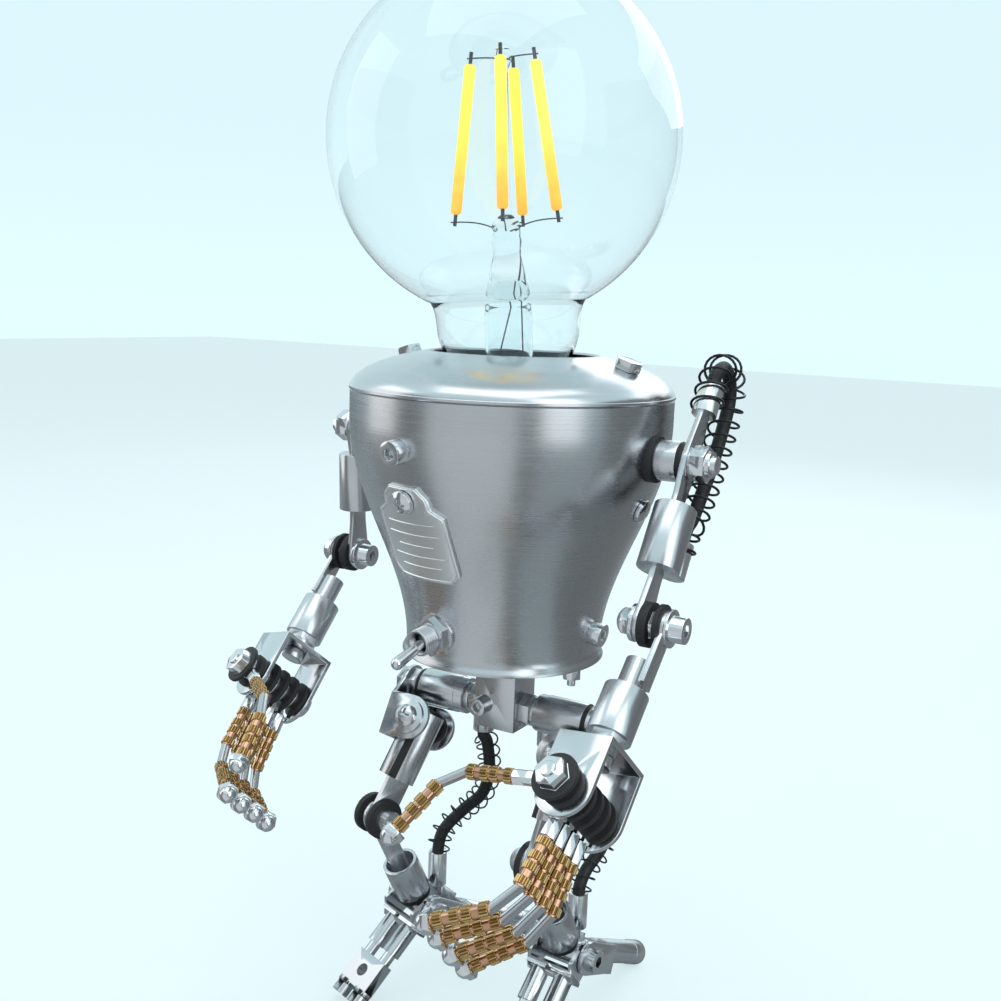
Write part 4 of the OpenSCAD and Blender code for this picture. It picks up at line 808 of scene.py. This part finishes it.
# ---- Fingers and thumbs: hex rods, threaded inserts and a steel flex tube ----
# A hex rod grows out of an eyelet on the hand bolt. It carries two knurled brass inserts, a short
# steel tube that stands for the flex spring, two more inserts and a domed nut at the tip.
brass = metal(
    "knurled brass", (0.52, 0.34, 0.15), 0.24, 0.06, lines=0.12, bump=0.01, across=1500, along=1500)
# Painted shade: a dark brass for the faces of the pressed-in teeth, standing for the shade in their
# recesses.
brass_painted_shade = metal(
    "brass in shadow", (0.16, 0.09, 0.035), 0.4, 0.08, lines=0.12, bump=0.01, across=1500, along=1500)
brass_waist = metal(
    "copper waist", (0.62, 0.35, 0.22), 0.2, 0.05, lines=0.06, bump=0.01, across=1200, along=1200)
coil_steel = metal(
    "coil steel", (0.55, 0.56, 0.58), 0.22, 0.04, lines=0.03, bump=0.004, across=2500, along=2500)
ROD, INNER, FLEX, OUTER, NECK = 9.4, 10.2, 6.4, 11.6, 5.0  # lengths along a digit, in mm
FLANGE_R, WAIST_IN, FLEX_R, CAP_LONG = 1.55, 1.2, 1.1, 1.6
HEX = math.cos(math.pi / 6)  # half a hexagon's flats over its corner radius
TEETH = 14


def upright(name, vertices, radius, depth, foot, finish):
    """A cylinder on the Z axis with its foot at the given height, all in mm."""
    bpy.ops.object.select_all(action="DESELECT")
    bpy.ops.mesh.primitive_cylinder_add(
        vertices=vertices, radius=radius / 1000, depth=depth / 1000,
        location=(0, 0, (foot + depth / 2) / 1000))
    piece = bpy.context.object
    piece.name = name
    bpy.ops.object.transform_apply(location=True)
    piece.data.materials.append(finish)
    return piece


def softened(piece, width, segments=1, angle=40):
    """The piece with its sharp edges bevelled, by a width in mm."""
    ease = piece.modifiers.new("edge break", "BEVEL")
    ease.width = width / 1000
    ease.segments = segments
    ease.limit_method = "ANGLE"
    ease.angle_limit = math.radians(angle)
    bpy.context.view_layer.objects.active = piece
    bpy.ops.object.modifier_apply(modifier=ease.name)
    return piece


def collar(top, length):
    """A toothed collar of an insert: of each four edges round it, two are pressed in, and the pressed-in
    faces are painted dark brass as painted shade.
    """
    piece = upright("collar", TEETH * 4, FLANGE_R, length, top - length, brass)
    for v in piece.data.vertices:
        step = round(math.atan2(v.co.y, v.co.x) / (2 * math.pi) * TEETH * 4) % 4
        if step in (2, 3):
            v.co.x *= 0.87
            v.co.y *= 0.87
    # Painted shade: the pressed-in faces of the teeth take the dark brass.
    piece.data.materials.append(brass_painted_shade)
    for face in piece.data.polygons:
        if abs(face.normal.z) < 0.5 and math.hypot(face.center.x, face.center.y) < FLANGE_R * 0.93 / 1000:
            face.material_index = 1
    return softened(piece, 0.09, 1, 60)


def insert_pair(top, length):
    """Two threaded inserts end to end: each is a collar, a smooth waist, a collar and a gap."""
    waist = upright("waist", 28, WAIST_IN, length + 0.1, top - length - 0.05, brass_waist)
    parts = [softened(waist, 0.08)]
    half = length / 2
    for start in (top, top - half):
        parts += [collar(start - half * 0.04, half * 0.32), collar(start - half * 0.62, half * 0.32)]
    return parts


def digit(name, bend, fan):
    """A whole digit, hanging straight down from its bolt, its outer half bent towards -X."""
    eyelet = softened(upright("eyelet", 48, 3.0, 2.0, -1.0, bright), 0.25, 2)
    eyelet.data.transform(turn_by(90, "X"))
    neck = upright("neck", 4, 1.0, NECK - 1.8, -NECK - 0.2, bright)
    flatten = Matrix.Diagonal((1.38 * math.sqrt(2), 0.98 * math.sqrt(2), 1, 1))
    neck.data.transform(flatten @ turn_by(45, "Z"))
    rod = upright("rod", 6, 1.4 / HEX, ROD - NECK, -ROD, bright)
    rod.data.transform(turn_by(30, "Z"))
    near = [softened(rod, 0.12, 2, 30)] + insert_pair(-ROD, INNER)

    # The flex tube runs straight from the near inserts to where a bent spring of its length ends.
    angle = math.radians(bend)
    radius = FLEX / angle
    bent = at(-radius * (1 - math.cos(angle)), 0, -radius * math.sin(angle)) @ turn_by(bend, "Y")
    flex = upright("flex", 16, FLEX_R, FLEX, -FLEX, coil_steel)
    for v in flex.data.vertices:
        if v.co.z < -FLEX / 2000:
            v.co = bent @ Vector((v.co.x, v.co.y, 0))
    flex.data.transform(at(0, 0, -ROD - INNER))

    cap = upright("tip", 6, 2.1 / HEX, CAP_LONG, -OUTER - CAP_LONG, bright)
    cap = softened(cap, 0.12, 2, 30)
    bpy.ops.object.select_all(action="DESELECT")
    bpy.ops.mesh.primitive_uv_sphere_add(
        segments=28, ring_count=14, radius=0.00195, location=(0, 0, (-OUTER - 1.5) / 1000))
    dome = bpy.context.object
    bpy.ops.object.transform_apply(location=True)
    dome.data.materials.append(bright)
    far = insert_pair(0, OUTER) + [cap, dome]
    for part in far:
        part.data.transform(at(0, 0, -ROD - INNER) @ bent)
    for part in near + [flex] + far:
        part.data.transform(at(0, 0, -NECK) @ turn_by(fan, "X") @ at(0, 0, NECK))
    return joined([eyelet, neck] + near + [flex] + far, name)


FINGER_GAP, THUMB_ALONG, THUMB_FAN = 3.1, -9.35, -5
for side, bases, bends, thumb in (
    ("left", (4, 4, 3, 3), (61, 58, 55, 53), (84, -62)),
    ("right", (10, 7, 4, 1), (48, 52, 56, 59), (63, -48)),
):
    jobs = []
    for i in range(4):
        jobs.append((f"finger_{i + 1}", (i - 1.5) * FINGER_GAP, bases[i], bends[i], -4.8 + 3.2 * i))
    jobs.append(("thumb", THUMB_ALONG, thumb[0], thumb[1], THUMB_FAN))
    for part, along, base, bend, fan in jobs:
        node = side + "_" + part
        piece = digit(node + "_built", bend, fan)
        piece.data.transform(limbs[side]["hand"] @ at(0, along, -GRIP) @ turn_by(base, "Y"))
        if side == "right":
            piece.data.flip_normals()
        bpy.ops.object.shade_smooth_by_angle(angle=math.radians(35))
        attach(piece, node)
        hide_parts(node)

# ---- Tendons: rubber cords in black wound springs, held in ferrules at both ends ----
# The left upper arm carries one that loops over behind the shoulder. Each leg has one from the hip axle down
# to a ferrule behind the ankle. It is made in two lengths, split at a height between the yoke bolt and the
# knee.
cord_rubber = rubber_finish("cord rubber", (0.01, 0.01, 0.011), 0.5)
black_wire = metal("black oxide wire", (0.045, 0.045, 0.05), 0.32, 0.1)


def along_route(points, place):
    """Catmull-Rom point at a place counted in points from the first."""
    i = min(len(points) - 2, int(place))
    t = place - i
    a, b, c, d = points[max(0, i - 1)], points[i], points[i + 1], points[min(len(points) - 1, i + 2)]
    squared = 2 * a - 5 * b + 4 * c - d
    cubed = 3 * b - a - 3 * c + d
    return 0.5 * (2 * b + (c - a) * t + squared * t * t + cubed * t ** 3)


def even_steps(points, first, last, count):
    """Places along a route at even steps of length."""
    fine = [first + (last - first) * i / 400 for i in range(401)]
    spots = [along_route(points, u) for u in fine]
    run = [0.0]
    for i in range(400):
        run.append(run[-1] + (spots[i + 1] - spots[i]).length)
    places = []
    j = 0
    for i in range(count + 1):
        want = run[-1] * i / count
        while j < 399 and run[j + 1] < want:
            j += 1
        share = (want - run[j]) / max(1e-12, run[j + 1] - run[j])
        places.append(fine[j] + (fine[j + 1] - fine[j]) * share)
    return places


def helix(points, first, last, curls, radius):
    """Spots of a spring wound round a route, at a radius in mm."""
    side_way = None
    spots = []
    for i, u in enumerate(even_steps(points, first, last, curls * CURL_STEPS)):
        ahead_u, back_u = min(len(points) - 1, u + 0.02), max(0, u - 0.02)
        way = (along_route(points, ahead_u) - along_route(points, back_u)).normalized()
        if side_way is None:
            side_way = way.cross(Vector((0.9, 0.1, 0.2))).normalized()
        side_way = (side_way - way * side_way.dot(way)).normalized()
        a = 2 * math.pi * i / CURL_STEPS
        out = math.cos(a) * side_way + math.sin(a) * way.cross(side_way)
        spots.append(along_route(points, u) + radius / 1000 * out)
    return spots


CURL_STEPS = 20
CORD_R, ARM_WIRE, LEG_WIRE = 1.55, 0.3, 0.225
ARM_COIL, LEG_COIL = 3.4, 2.875
HORN = 12
ferrule = -37.5 + 15.6
arm_line = [Vector((0, y / 1000, z / 1000)) for y, z in (
    (0, HORN + 1.6), (0, HORN + 7), (0.5, HORN + 11), (3.8, HORN + 14.4), (8.6, HORN + 14), (12, HORN + 10),
    (12.8, HORN + 2), (12.4, HORN - 8), (10.6, -8), (8.8, ferrule + 10), (8.5, ferrule + 4), (8.5, ferrule))]
arm_line = [limbs["left"]["shoulder"] @ p for p in arm_line]
coil_line = [limbs["left"]["shoulder"] @ Vector((0, 0, (HORN + 1) / 1000))] + arm_line[1:-1]
cord_spots = [along_route(arm_line, u) for u in even_steps(arm_line, 0, 11, 90)]
cord = wire_form("left_arm_cord_rubber", cord_spots, CORD_R, cord_rubber, 6)
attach(cord, "left_upper_arm")
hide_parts("left_arm_cord")
coil_spots = helix(coil_line, 0.02, len(coil_line) - 1.02, 19, ARM_COIL)
coil = wire_form("left_arm_coil", coil_spots, ARM_WIRE, black_wire)
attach(coil, "left_upper_arm")
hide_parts("left_arm_spring")

for side, curls in (("left", 16), ("right", 13)):
    outer = limbs[side]["outer"]
    foot = outer.inverted() @ limbs[side]["foot"]
    tie = (foot @ Vector((0, 0.0058, 0.0125))) * 1000
    top = Vector((9.3, 8, HIP - 6.6))
    if side == "left":
        bends = [
            Vector((12, 11.5, HIP - 14.5)), Vector((18.5, 17.5, HIP - 17)), Vector((23, 19.5, HIP - 22)),
            Vector((23, 19, HIP - 30)), tie + Vector((1, 10, 8)), tie + Vector((0.2, 3, 4.2))]
    else:
        bends = [
            Vector((8.6, 9, HIP - 14.5)), Vector((8.4, 10, HIP - 22)), Vector((10.5, 10.4, HIP - 29)),
            Vector((15.5, 9.4, HIP - 34.5)), tie + Vector((-0.2, 2.2, 5))]
    start = [top, top - Vector((0, 0, 4.1)), top - Vector((0, 0, 5.3))]
    line = [outer @ (p / 1000) for p in start + bends + [tie, tie - Vector((0, 0, 7))]]
    last = len(line) - 1
    cord_spots = [along_route(line, u) for u in even_steps(line, 0, last, 120)]
    coil_spots = helix(line[2:-1], 0.02, last - 3.02, curls, LEG_COIL)
    hip_at = limbs[side]["hip"] @ Vector((0, 0, -YOKE / 1000))
    knee_at = limbs[side]["thigh"] @ Vector((0, 0, -KNEE / 1000))
    seam_z = hip_at.z * 0.42 + knee_at.z * 0.58
    for what, spots, radius, finish, slot, sides in (
        ("cord", cord_spots, CORD_R, cord_rubber, "black_rubber", 6),
        ("spring", coil_spots, LEG_WIRE, black_wire, "black_spring_steel", 3),
    ):
        split = min(range(len(spots)), key=lambda i: abs(spots[i].z - seam_z))
        upper = wire_form(f"{side}_leg_{what}_upper", spots[:split + 1], radius, finish, sides)
        lower = wire_form(f"{side}_leg_{what}_lower", spots[split:], radius, finish, sides)
        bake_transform(upper)
        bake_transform(lower)
        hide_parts(f"{side}_leg_{what}")
        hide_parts(f"{side}_leg_{what}")

import json
